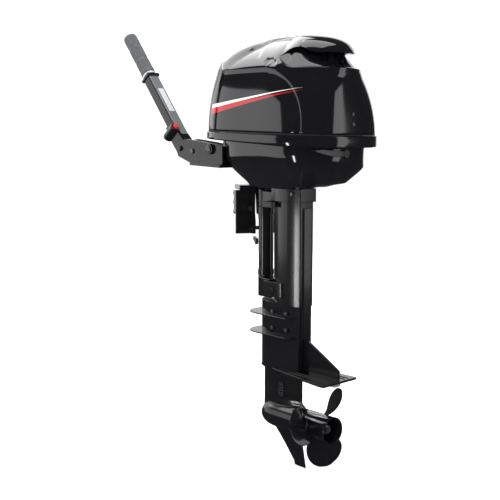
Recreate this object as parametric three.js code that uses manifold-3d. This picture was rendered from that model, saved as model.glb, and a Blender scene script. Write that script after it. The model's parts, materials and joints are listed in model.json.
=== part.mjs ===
// A portable two-cylinder outboard motor with a tiller, made of separate pieces.
// Millimetres. +X is aft, +Y is starboard and +Z is up. The origin is on the aft face of the boat's
// transom, at its top edge, midway between the two clamp brackets.
import * as THREE from 'three';
import { mergeVertices } from 'three/addons/utils/BufferGeometryUtils.js';
import Module from 'manifold-3d';

const wasm = await Module();
wasm.setup();

// Fits
const gap = 0.3;
const runningGap = 0.6;

// How the motor stands at rest
const steeringAft = 62;
const steerAtRest = 30;
const tillerRaised = 50;

// Clamp brackets and tilt pivot
const bracketInner = 16;
const bracketWidth = 50;
const bracketPlate = 9;
const bracketDrop = 111;
const hookThick = 12;
const transomGap = 58;
const armThick = 17;
const pivotX = -12;
const pivotZ = 26;
const earRadius = 14;
const tiltBoltRadius = 6;
const thrustRodRadius = 5;
const thrustRodX = 11;
const thrustRodZ = -96;
const screwRadius = 7;
const screwZ = -40;
const screwLength = 74;
const handleSpan = 50;
const padRadius = 17;
const padThick = 6;

// Swivel bracket and steering shaft
const swivelTop = -42;
const swivelBottom = -206;
const swivelRadius = 18.5;
const steeringShaftRadius = 10;
const bushWall = 2.5;
const bushLength = 26;

// Mount brackets between the steering shaft and the leg
const upperMountTop = 4;
const upperMountBottom = -38;
const lowerMountTop = -210;
const lowerMountBottom = -262;
const mountFront = -28;
const upperMountHalf = 20;
const lowerMountHalf = 30;
const mountAft = 46;
const mountRubberRadius = 8.5;
const mountRubberSpread = 10;
const cheekAft = 98;
const cheekThick = 6;
const cheekInset = 10;

// Leg
const legFront = 52;
const legAft = 142;
const legHalf = 34;
const legNoseHalf = 22;
const legAftHalf = 22;
const legShoulder = 48;
const legTop = 76;
const legWall = 4;
const collarBottom = -20;
const collarProud = 5;
const blockTop = -266;
const blockFront = -5;
const blockHalf = 34;
const splashPlateZ = -302;
const splashPlateThick = 4;
const splashPlateFront = -34;
const splashPlateHalf = 46;
const gearcaseTop = -350;

// Gearcase
const plateZ = -438;
const plateThick = 6;
const plateAft = 258;
const plateHalf = 59;
const finTopAft = 150;
const finAftTop = -408;
const strutFront = -3;
const strutAft = 134;
const strutHalf = 17;
const torpedoZ = -558;
const torpedoRadius = 32.5;
const torpedoAft = 148;
const torpedoWall = 4.5;
const skegTip = -674;
const intakeX = 74;
const intakeZ = -486;
const intakeWidth = 16;
const intakeHeight = 34;

// Drive line
const driveX = 92;
const driveShaftRadius = 6;
const gearTeeth = 27;
const pinionTeeth = 13;
const gearRadius = 24.3;
const gearFace = 8;
const gearBack = 5;
const shiftRodX = 66;
const shiftRodRadius = 3;
const propShaftRadius = 8;
const propShaftFront = 72;
const impellerRadius = 18;
const impellerHeight = 16;
const pumpWall = 3;

// Propeller
const propellerRadius = 108;
const propellerPitch = 216;
const bladeCount = 3;
const hubRadius = 33;
const hubFront = 151;
const hubAft = 234;
const hubWall = 3;
const hubCoreRadius = 16;
const bladeRoot = 184;
const propellerTurn = 43;
const bladeHalfAngle = 40;
const bladeThick = 4;

// Cowls
const rimFront = -120;
const rimAft = 285;
const rimHalf = 145;
const rimCorner = 75;
const rimTopFront = 148;
const rimTopSlope = -0.0296;
const rimThickFront = 17;
const rimThickAft = 27;
const cowlWall = 3.2;
const trayFront = -81;
const trayAft = 262;
const trayHalf = 115;
const trayCorner = 68;
const trayKnuckle = 82;
const trayFloor = 16;
const neckFront = -18;
const neckAft = 226;
const neckHalf = 64;
const neckPinch = 0.06;
const sealThick = 2.4;
const hoodInset = 8;
const hoodTop = 366;
const hoodNarrowing = 18;
const recessLip = 285;
const recessRoof = 333;
const recessFront = 186;
const recessDepth = 36;

// Powerhead
const crankcaseHalf = 44;
const crankcaseFront = 34;
const cylinderHalf = 40;
const cylinderAft = 176;
const headThick = 26;
const blockFloor = 96;
const blockRoof = 236;
const footThick = 12;
const flywheelRadius = 78;
const flywheelHeight = 22;
const recoilHeight = 30;
const plugRadius = 8;

// Tiller
const tillerY = -95;
const hingeX = -195;
const hingeZ = 104;
const hingePinRadius = 7;
const tillerThick = 42;
const elbowRadius = 22;
const armLength = 238;
const armWidth = 32;
const armDepth = 28;
const gripLength = 142;
const gripRadius = 19;
const gripShaftRadius = 9;
const stopButtonX = -56;
const stopButtonY = -18;
const stopButtonRadius = 7;
const stopButtonProud = 6;
const buttonBossRadius = 13;
const buttonBossTop = 19;
const buttonBossBottom = -27;

const finishes = {
  glossBlack: { color: 0x0b0b0c, roughness: 0.16, metalness: 0 },
  satinBlack: { color: 0x121213, roughness: 0.34, metalness: 0 },
  matBlack: { color: 0x1b1b1c, roughness: 0.6, metalness: 0 },
  rubber: { color: 0x26262a, roughness: 0.85, metalness: 0 },
  greyRubber: { color: 0x4c5055, roughness: 0.75, metalness: 0 },
  castAluminium: { color: 0x8f9396, roughness: 0.5, metalness: 0.9 },
  brightSteel: { color: 0xc9cbcd, roughness: 0.25, metalness: 1 },
  darkSteel: { color: 0x5c5f62, roughness: 0.4, metalness: 1 },
  copper: { color: 0xb47a4a, roughness: 0.4, metalness: 1 },
  zinc: { color: 0xa4a7a6, roughness: 0.65, metalness: 0.8 },
  redPlastic: { color: 0xc4211c, roughness: 0.35, metalness: 0 },
  ceramic: { color: 0xe9e6df, roughness: 0.3, metalness: 0 },
};

// A closed geometry as a solid that can be joined and cut.
function toSolid(geometry) {
  const bare = new THREE.BufferGeometry();
  bare.setAttribute('position', geometry.getAttribute('position').clone());
  if (geometry.index) bare.setIndex(geometry.index.clone());
  const merged = mergeVertices(bare, 1e-4);
  const index = merged.index.array;
  const kept = [];
  for (let i = 0; i < index.length; i += 3) {
    const [a, b, c] = [index[i], index[i + 1], index[i + 2]];
    if (a !== b && b !== c && c !== a) kept.push(a, b, c);
  }
  const mesh = new wasm.Mesh({
    numProp: 3,
    vertProperties: new Float32Array(merged.getAttribute('position').array),
    triVerts: new Uint32Array(kept),
  });
  return new wasm.Manifold(mesh);
}

function toGeometry(solid) {
  const mesh = solid.getMesh();
  const geometry = new THREE.BufferGeometry();
  geometry.setAttribute('position', new THREE.BufferAttribute(new Float32Array(mesh.vertProperties), 3));
  geometry.setIndex(new THREE.BufferAttribute(new Uint32Array(mesh.triVerts), 1));
  return geometry;
}

function join(...pieces) {
  return toGeometry(pieces.map(toSolid).reduce((whole, piece) => whole.add(piece)));
}

function cut(base, ...tools) {
  return toGeometry(tools.map(toSolid).reduce((rest, tool) => rest.subtract(tool), toSolid(base)));
}

function meet(...pieces) {
  return toGeometry(pieces.map(toSolid).reduce((whole, piece) => whole.intersect(piece)));
}

function box(x0, x1, y0, y1, z0, z1) {
  const geometry = new THREE.BoxGeometry(x1 - x0, y1 - y0, z1 - z0);
  return geometry.translate((x0 + x1) / 2, (y0 + y1) / 2, (z0 + z1) / 2);
}

// A round bar between two points, tapering where the end radius differs.
function rod(from, to, radius, endRadius = radius, sides = 16) {
  const start = new THREE.Vector3(...from);
  const end = new THREE.Vector3(...to);
  const along = end.clone().sub(start);
  const geometry = new THREE.CylinderGeometry(endRadius, radius, along.length(), sides);
  geometry.translate(0, along.length() / 2, 0);
  const turn = new THREE.Quaternion().setFromUnitVectors(new THREE.Vector3(0, 1, 0), along.normalize());
  return geometry.applyQuaternion(turn).translate(...from);
}

// A turned piece about the Z axis from [radius, height] points.
function turned(profile, x, y, sides = 24) {
  const points = profile.map(([r, z]) => new THREE.Vector2(r, z));
  return new THREE.LatheGeometry(points, sides).rotateX(Math.PI / 2).translate(x, y, 0);
}

// A turned piece about a fore-and-aft axis from [radius, x] points.
function turnedAft(profile, y, z, sides = 24) {
  const points = profile.map(([r, x]) => new THREE.Vector2(r, x));
  return new THREE.LatheGeometry(points, sides).rotateZ(-Math.PI / 2).translate(0, y, z);
}

function outline(points) {
  return new THREE.Shape(points.map(([a, b]) => new THREE.Vector2(a, b)));
}

function curved(points, divisions) {
  const curve = new THREE.SplineCurve(points.map(([a, b]) => new THREE.Vector2(a, b)));
  return curve.getPoints(divisions).map((p) => [p.x, p.y]);
}

function roundedRectangle(x0, x1, y0, y1, radius) {
  const shape = new THREE.Shape();
  shape.moveTo(x0 + radius, y0);
  shape.lineTo(x1 - radius, y0);
  shape.absarc(x1 - radius, y0 + radius, radius, -Math.PI / 2, 0);
  shape.lineTo(x1, y1 - radius);
  shape.absarc(x1 - radius, y1 - radius, radius, 0, Math.PI / 2);
  shape.lineTo(x0 + radius, y1);
  shape.absarc(x0 + radius, y1 - radius, radius, Math.PI / 2, Math.PI);
  shape.lineTo(x0, y0 + radius);
  shape.absarc(x0 + radius, y0 + radius, radius, Math.PI, Math.PI * 1.5);
  return shape;
}

function extruded(shape, depth, steps = 1, curveSegments = 5) {
  return new THREE.ExtrudeGeometry(shape, { depth, steps, curveSegments, bevelEnabled: false });
}

// An outline in X and Y between two heights.
function standing(shape, z0, z1, steps = 1, curveSegments = 5) {
  return extruded(shape, z1 - z0, steps, curveSegments).translate(0, 0, z0);
}

// A side profile in X and Z between two widths.
function profiled(shape, y0, y1, curveSegments = 5) {
  return extruded(shape, y1 - y0, 1, curveSegments).rotateX(Math.PI / 2).translate(0, y1, 0);
}

// A front profile in Y and Z between two stations.
function fronted(shape, x0, x1) {
  const turn = new THREE.Matrix4().makeBasis(
    new THREE.Vector3(0, 1, 0),
    new THREE.Vector3(0, 0, 1),
    new THREE.Vector3(1, 0, 0),
  );
  return extruded(shape, x1 - x0).applyMatrix4(turn).translate(x0, 0, 0);
}

// Moves every point of a geometry by a rule.
function reshaped(geometry, rule) {
  const place = geometry.getAttribute('position');
  for (let i = 0; i < place.count; i += 1) {
    place.setXYZ(i, ...rule(place.getX(i), place.getY(i), place.getZ(i)));
  }
  return geometry;
}

function mirrored(geometry) {
  const copy = geometry.clone().scale(1, -1, 1);
  const index = copy.index ? Array.from(copy.index.array) : [...Array(copy.attributes.position.count).keys()];
  for (let i = 0; i < index.length; i += 3) {
    [index[i + 1], index[i + 2]] = [index[i + 2], index[i + 1]];
  }
  copy.setIndex(index);
  return copy;
}

function blendTo(from, to, share) {
  return from + (to - from) * share;
}

const outboard = new THREE.Group();
const motor = new THREE.Group();
motor.position.x = steeringAft;
motor.rotation.z = THREE.MathUtils.degToRad(steerAtRest);
outboard.add(motor);
const tiller = new THREE.Group();
tiller.position.set(hingeX, tillerY, hingeZ);
tiller.rotation.y = THREE.MathUtils.degToRad(tillerRaised);
motor.add(tiller);

function place(group, name, geometry, finish) {
  const mesh = new THREE.Mesh(geometry, new THREE.MeshStandardMaterial(finishes[finish]));
  mesh.name = name;
  group.add(mesh);
}

// The port and starboard pieces of a pair; the geometry given is the starboard one.
function placePair(group, name, geometry, finish) {
  place(group, `starboard_${name}`, geometry, finish);
  place(group, `port_${name}`, mirrored(geometry), finish);
}

// --- Clamp brackets -------------------------------------------------------------------------------
const bracketOuter = bracketInner + bracketWidth;
const bracketMiddle = bracketInner + bracketWidth / 2;
const armFront = -transomGap - armThick;
const screwTip = -transomGap + 4;

function clampBracket() {
  const ear = rod([pivotX, bracketInner, pivotZ], [pivotX, bracketInner + bracketPlate, pivotZ], earRadius);
  const side = profiled(outline([
    [pivotX - earRadius, pivotZ], [pivotX - earRadius - 6, hookThick], [-transomGap + 2, hookThick],
    [armFront, -5], [armFront, screwZ - 24], [-transomGap, screwZ - 24], [-transomGap, 0], [0, 0],
    [0, -bracketDrop], [16, -bracketDrop], [19, thrustRodZ + 14], [11, -60], [10, 0],
    [pivotX + earRadius, pivotZ - 4], [pivotX, pivotZ],
  ]), bracketInner, bracketInner + bracketPlate);
  const face = box(0, 8, bracketInner, bracketOuter, -bracketDrop, 0);
  const hook = box(-transomGap, 8, bracketInner, bracketOuter - 10, 0, hookThick);
  const arm = box(armFront, -transomGap, bracketInner, bracketOuter - 10, screwZ - 24, -5);
  const hole = rod([-90, bracketMiddle, screwZ], [-transomGap + 5, bracketMiddle, screwZ], screwRadius + gap);
  const pivotHole = rod([pivotX, 0, pivotZ], [pivotX, 60, pivotZ], tiltBoltRadius + gap);
  const rodHole = rod([thrustRodX, 0, thrustRodZ], [thrustRodX, 60, thrustRodZ], thrustRodRadius + gap);
  return cut(join(side, ear, face, hook, arm), hole, pivotHole, rodHole);
}
placePair(outboard, 'clamp_bracket', clampBracket(), 'satinBlack');

function clampScrew() {
  const shank = rod(
    [screwTip - screwLength, bracketMiddle, screwZ], [screwTip, bracketMiddle, screwZ], screwRadius);
  const barX = screwTip - screwLength + screwRadius;
  const bar = rod(
    [barX, bracketMiddle, screwZ - handleSpan / 2], [barX, bracketMiddle, screwZ + handleSpan / 2], 5, 5, 12);
  const ends = [-1, 1].map((side) => new THREE.SphereGeometry(8, 10, 6)
    .translate(barX, bracketMiddle, screwZ + side * handleSpan / 2));
  return join(shank, bar, ...ends);
}
placePair(outboard, 'clamp_screw', clampScrew(), 'darkSteel');
placePair(outboard, 'clamp_pad',
  rod([screwTip + gap, bracketMiddle, screwZ], [screwTip + padThick, bracketMiddle, screwZ], 8, padRadius),
  'brightSteel');

const boltEnd = bracketInner + bracketPlate + gap;
place(outboard, 'tilt_bolt', join(
  rod([pivotX, -boltEnd, pivotZ], [pivotX, boltEnd + 12, pivotZ], tiltBoltRadius),
  rod([pivotX, -boltEnd - 6, pivotZ], [pivotX, -boltEnd, pivotZ], 10, 10, 6)), 'brightSteel');
place(outboard, 'tilt_bolt_nut', cut(
  rod([pivotX, boltEnd, pivotZ], [pivotX, boltEnd + 8, pivotZ], 10, 10, 6),
  rod([pivotX, boltEnd - 1, pivotZ], [pivotX, boltEnd + 9, pivotZ], tiltBoltRadius + gap)), 'brightSteel');
place(outboard, 'thrust_rod', rod(
  [thrustRodX, -bracketInner - bracketPlate - 4, thrustRodZ],
  [thrustRodX, bracketInner + bracketPlate + 4, thrustRodZ], thrustRodRadius), 'brightSteel');

// --- Swivel bracket, which tilts between the clamp brackets ----------------------------------------
const swivelHalf = bracketInner - 1.5;
const steeringBore = steeringShaftRadius + bushWall + 2 * gap;

function swivelBracket() {
  const boss = rod([pivotX, -swivelHalf, pivotZ], [pivotX, swivelHalf, pivotZ], earRadius - 1);
  const rodClear = thrustRodX + thrustRodRadius + 1;
  const web = profiled(outline([
    [pivotX - 6, pivotZ + 6], [pivotX - 4, 10], [2, -2], [2, -60], [rodClear, -78], [rodClear, -112],
    [steeringAft - swivelRadius + 2, swivelBottom + 28], [steeringAft, swivelBottom + 24],
    [steeringAft, swivelTop], [12, swivelTop], [12, 2], [pivotX + 8, pivotZ + 8],
  ]), -swivelHalf, swivelHalf);
  const tube = rod([steeringAft, 0, swivelBottom], [steeringAft, 0, swivelTop], swivelRadius, swivelRadius, 32);
  const bore = rod(
    [steeringAft, 0, swivelBottom - 1], [steeringAft, 0, swivelTop + 1], steeringBore, steeringBore, 32);
  const pivotHole = rod([pivotX, -60, pivotZ], [pivotX, 60, pivotZ], tiltBoltRadius + gap);
  return cut(join(boss, web, tube), bore, pivotHole);
}
place(outboard, 'swivel_bracket', swivelBracket(), 'satinBlack');

function steeringBush(bottom) {
  const inner = steeringShaftRadius + gap;
  const outer = inner + bushWall;
  const top = bottom + bushLength;
  return turned([[inner, bottom], [outer, bottom], [outer, top], [inner, top], [inner, bottom]], steeringAft, 0);
}
place(outboard, 'upper_steering_bush', steeringBush(swivelTop - bushLength - 1), 'rubber');
place(outboard, 'lower_steering_bush', steeringBush(swivelBottom + 1), 'rubber');

const lockLeverX = 34;
const lockLeverZ = -128;
place(outboard, 'tilt_lock_lever', join(
  rod([lockLeverX, -swivelHalf - gap, lockLeverZ], [lockLeverX, -swivelHalf - 7, lockLeverZ], 8),
  profiled(outline([
    [lockLeverX, lockLeverZ + 6], [6, -118], [2, -124], [8, -128], [lockLeverX, lockLeverZ - 6],
  ]), -swivelHalf - 6, -swivelHalf - gap)), 'darkSteel');

// --- Steering shaft and the mounts that carry the leg ----------------------------------------------
place(motor, 'steering_shaft', rod(
  [0, 0, lowerMountBottom + 14], [0, 0, upperMountTop - 6], steeringShaftRadius, steeringShaftRadius, 28),
'brightSteel');

function mountBracket(half, bottom, top, shaftFrom, shaftTo) {
  const body = standing(roundedRectangle(mountFront, mountAft, -half, half, 9), bottom, top);
  const bore = rod([0, 0, shaftFrom], [0, 0, shaftTo], steeringShaftRadius + gap, steeringShaftRadius + gap, 28);
  const middle = (bottom + top) / 2;
  const pockets = [-1, 1].map((side) => rod(
    [mountAft - 20, side * mountRubberSpread, middle], [mountAft + 1, side * mountRubberSpread, middle],
    mountRubberRadius + gap));
  return cut(body, bore, ...pockets);
}
place(motor, 'upper_mount_bracket', mountBracket(
  upperMountHalf, upperMountBottom, upperMountTop, upperMountBottom - 1, upperMountTop - 6 + gap), 'satinBlack');

// The lower mount has a cheek along each side of the leg.
function lowerMountBracket() {
  const body = mountBracket(
    lowerMountHalf, lowerMountBottom, lowerMountTop, lowerMountBottom + 14 - gap, lowerMountTop + 1);
  const inner = legHalf + gap;
  const bottom = lowerMountBottom + cheekInset;
  const top = lowerMountTop - cheekInset;
  const cheek = join(
    box(mountAft - 12, cheekAft, inner, inner + cheekThick, bottom, top),
    box(mountAft - 12, mountAft, lowerMountHalf - 8, inner + cheekThick, bottom, top));
  return join(body, cheek, mirrored(cheek));
}
place(motor, 'lower_mount_bracket', lowerMountBracket(), 'satinBlack');

function mountRubber(bottom, top, legFace) {
  const middle = (bottom + top) / 2;
  return rod([mountAft - 20 + gap, mountRubberSpread, middle], [legFace - gap, mountRubberSpread, middle],
    mountRubberRadius);
}
placePair(motor, 'upper_mount_rubber',
  mountRubber(upperMountBottom, upperMountTop, legFront - collarProud), 'rubber');
placePair(motor, 'lower_mount_rubber', mountRubber(lowerMountBottom, lowerMountTop, legFront), 'rubber');

// --- Leg: the drive shaft housing ------------------------------------------------------------------
function legOutline(inset) {
  const front = legFront + inset;
  const aft = legAft - inset;
  const half = legHalf - inset;
  const aftHalf = legAftHalf - inset;
  const nose = legNoseHalf - inset;
  const shoulder = legFront + legShoulder;
  const flank = blendTo(nose, half, 0.8);
  const flankX = blendTo(front, shoulder, 0.6);
  return outline([
    [front, -nose], [flankX, -flank], [shoulder, -half], [aft, -aftHalf],
    [aft, aftHalf], [shoulder, half], [flankX, flank], [front, nose],
  ]);
}

// A foil section with a round nose and a blunt tail.
function foil(front, aft, half, tailHalf, sides = 7) {
  const port = [];
  for (let i = 0; i <= sides; i += 1) {
    const share = i / sides;
    const width = half * Math.sqrt(Math.sin(Math.PI * Math.min(share * 1.25, 0.5)));
    const taper = blendTo(half, tailHalf, Math.max(0, (share - 0.4) / 0.6));
    port.push([blendTo(front, aft, share), Math.min(width, taper)]);
  }
  const starboard = port.slice(1).map(([x, y]) => [x, -y]).reverse();
  return outline([...starboard, ...port]);
}

function leg() {
  const column = standing(legOutline(0), blockTop - 4, legTop);
  const collar = standing(
    roundedRectangle(legFront - collarProud, legAft + collarProud, -legHalf - collarProud, legHalf + collarProud, 6),
    collarBottom, trayFloor - cowlWall - gap);
  const block = standing(foil(blockFront, legAft - 3, blockHalf, legAftHalf), gearcaseTop, blockTop);
  const plates = [splashPlateZ, gearcaseTop].map((z) => standing(
    roundedRectangle(splashPlateFront, legAft - 18, -splashPlateHalf, splashPlateHalf, 40), z, z + splashPlateThick));
  const channel = standing(legOutline(legWall), blockTop - legWall - 1, legTop + 1);
  const pumpRoom = standing(
    foil(blockFront + legWall, legAft - 3 - legWall, blockHalf - legWall, legAftHalf - legWall),
    gearcaseTop - 1, blockTop - legWall);
  return cut(join(column, collar, block, ...plates), channel, pumpRoom);
}
place(motor, 'drive_shaft_housing', leg(), 'satinBlack');

// --- Gearcase ---------------------------------------------------------------------------------------
const torpedoBore = torpedoRadius - torpedoWall;

function gearcase() {
  const top = gearcaseTop - gap;
  const upper = standing(foil(strutFront - 2, legAft - 3, blockHalf, legAftHalf), plateZ, top);
  const strut = standing(foil(strutFront, strutAft, strutHalf, 5), torpedoZ, plateZ + 1);
  const plateEdge = curved([
    [strutFront - 7, 0], [20, 20], [76, 37], [135, 46], [187, 52], [240, plateHalf], [plateAft, plateHalf - 6],
  ], 14);
  const plate = standing(outline([
    ...plateEdge.map(([x, y]) => [x, -y]), ...plateEdge.slice(1).reverse(),
  ]), plateZ, plateZ + plateThick);
  const fin = profiled(outline([
    [legAft - 24, plateZ + 1], [plateAft - 4, plateZ + 1], [plateAft - 6, finAftTop], [finTopAft, top],
    [legAft - 24, top],
  ]), -3, 3);
  const torpedo = turnedAft([
    [0, -4], [10, -2], [20, 5], [28, 18], [torpedoRadius, 40], [torpedoRadius, torpedoAft - 20],
    [torpedoRadius - 1, torpedoAft], [0, torpedoAft],
  ], 0, torpedoZ, 28);
  const skeg = profiled(outline([
    [24, torpedoZ - 16], [100, skegTip + 7], [146, skegTip], [135, -612], [132, torpedoZ - 20],
  ]), -4, 4);
  const body = join(upper, strut, plate, fin, torpedo, skeg);
  const gearRoom = rod([shiftRodX - 8, 0, torpedoZ], [torpedoAft + 1, 0, torpedoZ], torpedoBore, torpedoBore, 28);
  const shaftWay = rod([driveX, 0, torpedoZ], [driveX, 0, top + 1], 13, 13);
  const shiftWay = rod([shiftRodX, 0, torpedoZ], [shiftRodX, 0, top + 1], shiftRodRadius + 1.5);
  const exhaustWay = box(driveX + 17, strutAft - 9, -4, 4, torpedoZ + 20, top + 1);
  const intakes = box(
    intakeX - intakeWidth / 2, intakeX + intakeWidth / 2, -60, 60,
    intakeZ - intakeHeight / 2, intakeZ + intakeHeight / 2);
  return cut(body, gearRoom, shaftWay, shiftWay, exhaustWay, intakes);
}
place(motor, 'gearcase', gearcase(), 'satinBlack');

// The two intake screens sit in the mouths of the passage cut across the strut.
const screenBars = 4;
function intakeScreen() {
  const inset = gap;
  const width = intakeWidth - 2 * inset;
  const height = intakeHeight - 2 * inset;
  const screen = box(intakeX - width / 2, intakeX + width / 2, strutHalf - 5, strutHalf - 2.5,
    intakeZ - height / 2, intakeZ + height / 2);
  const slots = [];
  const pitch = height / screenBars;
  for (let i = 0; i < screenBars; i += 1) {
    const z = intakeZ - height / 2 + pitch * (i + 0.5);
    slots.push(box(intakeX - width / 2 + 2, intakeX + width / 2 - 2, 0, 60, z - 1.5, z + 1.5));
  }
  return cut(screen, ...slots);
}
placePair(motor, 'intake_screen', intakeScreen(), 'matBlack');

place(motor, 'anode', profiled(outline([
  [212, plateZ - gap], [250, plateZ - gap], [246, plateZ - 10], [222, plateZ - 10],
]), -9, 9), 'zinc');

const carrierFront = driveX + gearRadius * pinionTeeth / gearTeeth + gearBack + 6;
place(motor, 'bearing_carrier', turnedAft([
  [propShaftRadius + runningGap, carrierFront], [torpedoBore - gap, carrierFront],
  [torpedoBore - gap, torpedoAft - 1], [propShaftRadius + runningGap, torpedoAft - 1],
  [propShaftRadius + runningGap, carrierFront],
], 0, torpedoZ, 28), 'castAluminium');

// --- Water pump -------------------------------------------------------------------------------------
const pumpFloor = gearcaseTop + 1;
const pumpRoof = pumpFloor + impellerHeight + 6;
const pumpOuter = impellerRadius + runningGap + pumpWall;
const shaftClear = driveShaftRadius + runningGap;
place(motor, 'water_pump_housing', turned([
  [impellerRadius + runningGap, pumpFloor], [pumpOuter, pumpFloor], [pumpOuter, pumpRoof],
  [shaftClear, pumpRoof + 3], [shaftClear, pumpRoof - pumpWall], [impellerRadius + runningGap, pumpRoof - pumpWall],
  [impellerRadius + runningGap, pumpFloor],
], driveX, 0), 'matBlack');

const waterTubeX = 112;
const waterTubeY = 14;
place(motor, 'water_tube', rod(
  [waterTubeX, waterTubeY, pumpRoof + 6], [waterTubeX, waterTubeY, blockFloor - footThick - gap], 5, 5, 14), 'copper');

// --- Drive line -------------------------------------------------------------------------------------
const pinionRadius = gearRadius * pinionTeeth / gearTeeth;
const coneShare = 1 - gearFace / gearRadius;
const pinionTop = torpedoZ + gearRadius;
const bore = driveShaftRadius + gap;
place(motor, 'drive_shaft', rod(
  [driveX, 0, pinionTop - gearFace + 1], [driveX, 0, blockFloor - 8], driveShaftRadius), 'brightSteel');
place(motor, 'pinion_gear', turned([
  [bore, pinionTop - gearFace], [pinionRadius * coneShare - gap, pinionTop - gearFace],
  [pinionRadius - gap, pinionTop - gap], [pinionRadius - gap, pinionTop + 4], [bore, pinionTop + 4],
  [bore, pinionTop - gearFace],
], driveX, 0), 'darkSteel');

// A bevel gear; the face towards the pinion lies on the pitch cone.
function bevelGear(side) {
  const big = side * (pinionRadius + gap);
  const small = side * (pinionRadius * coneShare + gap);
  const back = side * (pinionRadius + gearBack);
  const inner = propShaftRadius + 1.5;
  const profile = [
    [inner, driveX + back], [gearRadius - gap, driveX + back], [gearRadius - gap, driveX + big],
    [gearRadius * coneShare, driveX + small], [inner, driveX + small], [inner, driveX + back],
  ];
  return turnedAft(side > 0 ? [...profile].reverse() : profile, 0, torpedoZ);
}
place(motor, 'forward_gear', bevelGear(-1), 'darkSteel');
place(motor, 'reverse_gear', bevelGear(1), 'darkSteel');

const dogLength = 2 * pinionRadius * coneShare - 7;
const nutFront = 206;
place(motor, 'propeller_shaft', rod(
  [propShaftFront, 0, torpedoZ], [nutFront + 14, 0, torpedoZ], propShaftRadius), 'brightSteel');
const dogInner = propShaftRadius + gap;
const dogOuter = propShaftRadius + 4;
const dogHalf = dogLength / 2;
place(motor, 'clutch_dog', turnedAft([
  [dogInner, driveX - dogHalf], [dogOuter, driveX - dogHalf], [dogOuter, driveX + dogHalf],
  [dogInner, driveX + dogHalf], [dogInner, driveX - dogHalf],
], 0, torpedoZ), 'darkSteel');

function impeller() {
  const bottom = pumpFloor + 1;
  const hub = rod([driveX, 0, bottom], [driveX, 0, bottom + impellerHeight], 11);
  const vanes = [];
  const vaneCount = 6;
  for (let i = 0; i < vaneCount; i += 1) {
    vanes.push(box(9, impellerRadius, -1.4, 1.4, bottom, bottom + impellerHeight)
      .rotateZ(i / vaneCount * Math.PI * 2).translate(driveX, 0, 0));
  }
  return cut(join(hub, ...vanes), rod([driveX, 0, bottom - 1], [driveX, 0, bottom + impellerHeight + 1], bore));
}
place(motor, 'pump_impeller', impeller(), 'rubber');

// --- Propeller --------------------------------------------------------------------------------------
// A blade is a slab bent onto a helix: broad in the middle, rounded at the tip.
function blade(turn) {
  const slab = new THREE.BoxGeometry(1, 1, 1, 6, 6, 1);
  const root = hubRadius - 2;
  return reshaped(slab, (across, out, through) => {
    const share = out + 0.5;
    const radius = blendTo(root, propellerRadius, share);
    const fullness = Math.sqrt(Math.max(0.02, 1 - ((share - 0.42) / 0.6) ** 2));
    const angle = THREE.MathUtils.degToRad(bladeHalfAngle) * 2 * across * fullness * (1 - 0.25 * share);
    const thick = blendTo(bladeThick + 2, bladeThick - 1.5, share);
    const x = bladeRoot - angle / (2 * Math.PI) * propellerPitch + through * thick + share * 10;
    return [x, radius * Math.sin(angle + turn), radius * Math.cos(angle + turn)];
  }).translate(0, 0, torpedoZ);
}

function propeller() {
  const shell = turnedAft([
    [hubRadius - hubWall, hubFront], [hubRadius - 0.5, hubFront], [hubRadius, hubAft - 10], [hubRadius + 1, hubAft],
    [hubRadius + 1 - hubWall, hubAft], [hubRadius - hubWall, hubAft - 12], [hubRadius - hubWall, hubFront],
  ], 0, torpedoZ, 32);
  const coreBore = propShaftRadius + gap;
  const core = turnedAft([
    [coreBore, hubFront + 4], [hubCoreRadius, hubFront + 4], [hubCoreRadius, nutFront - 4],
    [coreBore, nutFront - 4], [coreBore, hubFront + 4],
  ], 0, torpedoZ, 24);
  const ribs = [];
  const blades = [];
  for (let i = 0; i < bladeCount; i += 1) {
    const turn = i / bladeCount * Math.PI * 2 + THREE.MathUtils.degToRad(propellerTurn);
    ribs.push(box(hubFront + 8, nutFront - 8, -2.5, 2.5, hubCoreRadius - 2, hubRadius - 1)
      .rotateX(-turn - 0.5).translate(0, 0, torpedoZ));
    blades.push(blade(turn));
  }
  const inside = rod([hubFront - 40, 0, torpedoZ], [hubAft + 40, 0, torpedoZ], hubRadius - hubWall, hubRadius - hubWall, 32);
  const bladed = cut(join(...blades), inside);
  return join(shell, bladed, core, ...ribs);
}
place(motor, 'propeller', propeller(), 'glossBlack');
place(motor, 'propeller_nut', cut(
  join(rod([nutFront, 0, torpedoZ], [nutFront + 9, 0, torpedoZ], 12, 12, 6),
    rod([nutFront - 3, 0, torpedoZ], [nutFront, 0, torpedoZ], 15)),
  rod([nutFront - 4, 0, torpedoZ], [nutFront + 10, 0, torpedoZ], propShaftRadius + gap)), 'brightSteel');

// --- Shift linkage ----------------------------------------------------------------------------------
const shiftRodTop = 66;
place(motor, 'shift_rod', rod(
  [shiftRodX, 0, torpedoZ + 12], [shiftRodX, 0, shiftRodTop], shiftRodRadius, shiftRodRadius, 12), 'brightSteel');

const shiftLeverX = 40;
const shiftLeverZ = 100;
const shiftLeverY = trayHalf + 1;
place(motor, 'shift_lever', join(
  rod([shiftLeverX, shiftLeverY - 16, shiftLeverZ], [shiftLeverX, shiftLeverY + 12, shiftLeverZ], 6),
  profiled(outline([
    [shiftLeverX - 7, shiftLeverZ], [shiftLeverX + 7, shiftLeverZ], [shiftLeverX + 9, shiftLeverZ - 52],
    [shiftLeverX - 9, shiftLeverZ - 52],
  ]), shiftLeverY + 4, shiftLeverY + 12)), 'matBlack');

// --- Lower cowl -------------------------------------------------------------------------------------
function rimTop(x) {
  return rimTopFront + rimTopSlope * (x - rimFront);
}

function rimBottom(x) {
  return rimTop(x) - blendTo(rimThickFront, rimThickAft, (x - rimFront) / (rimAft - rimFront));
}

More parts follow.
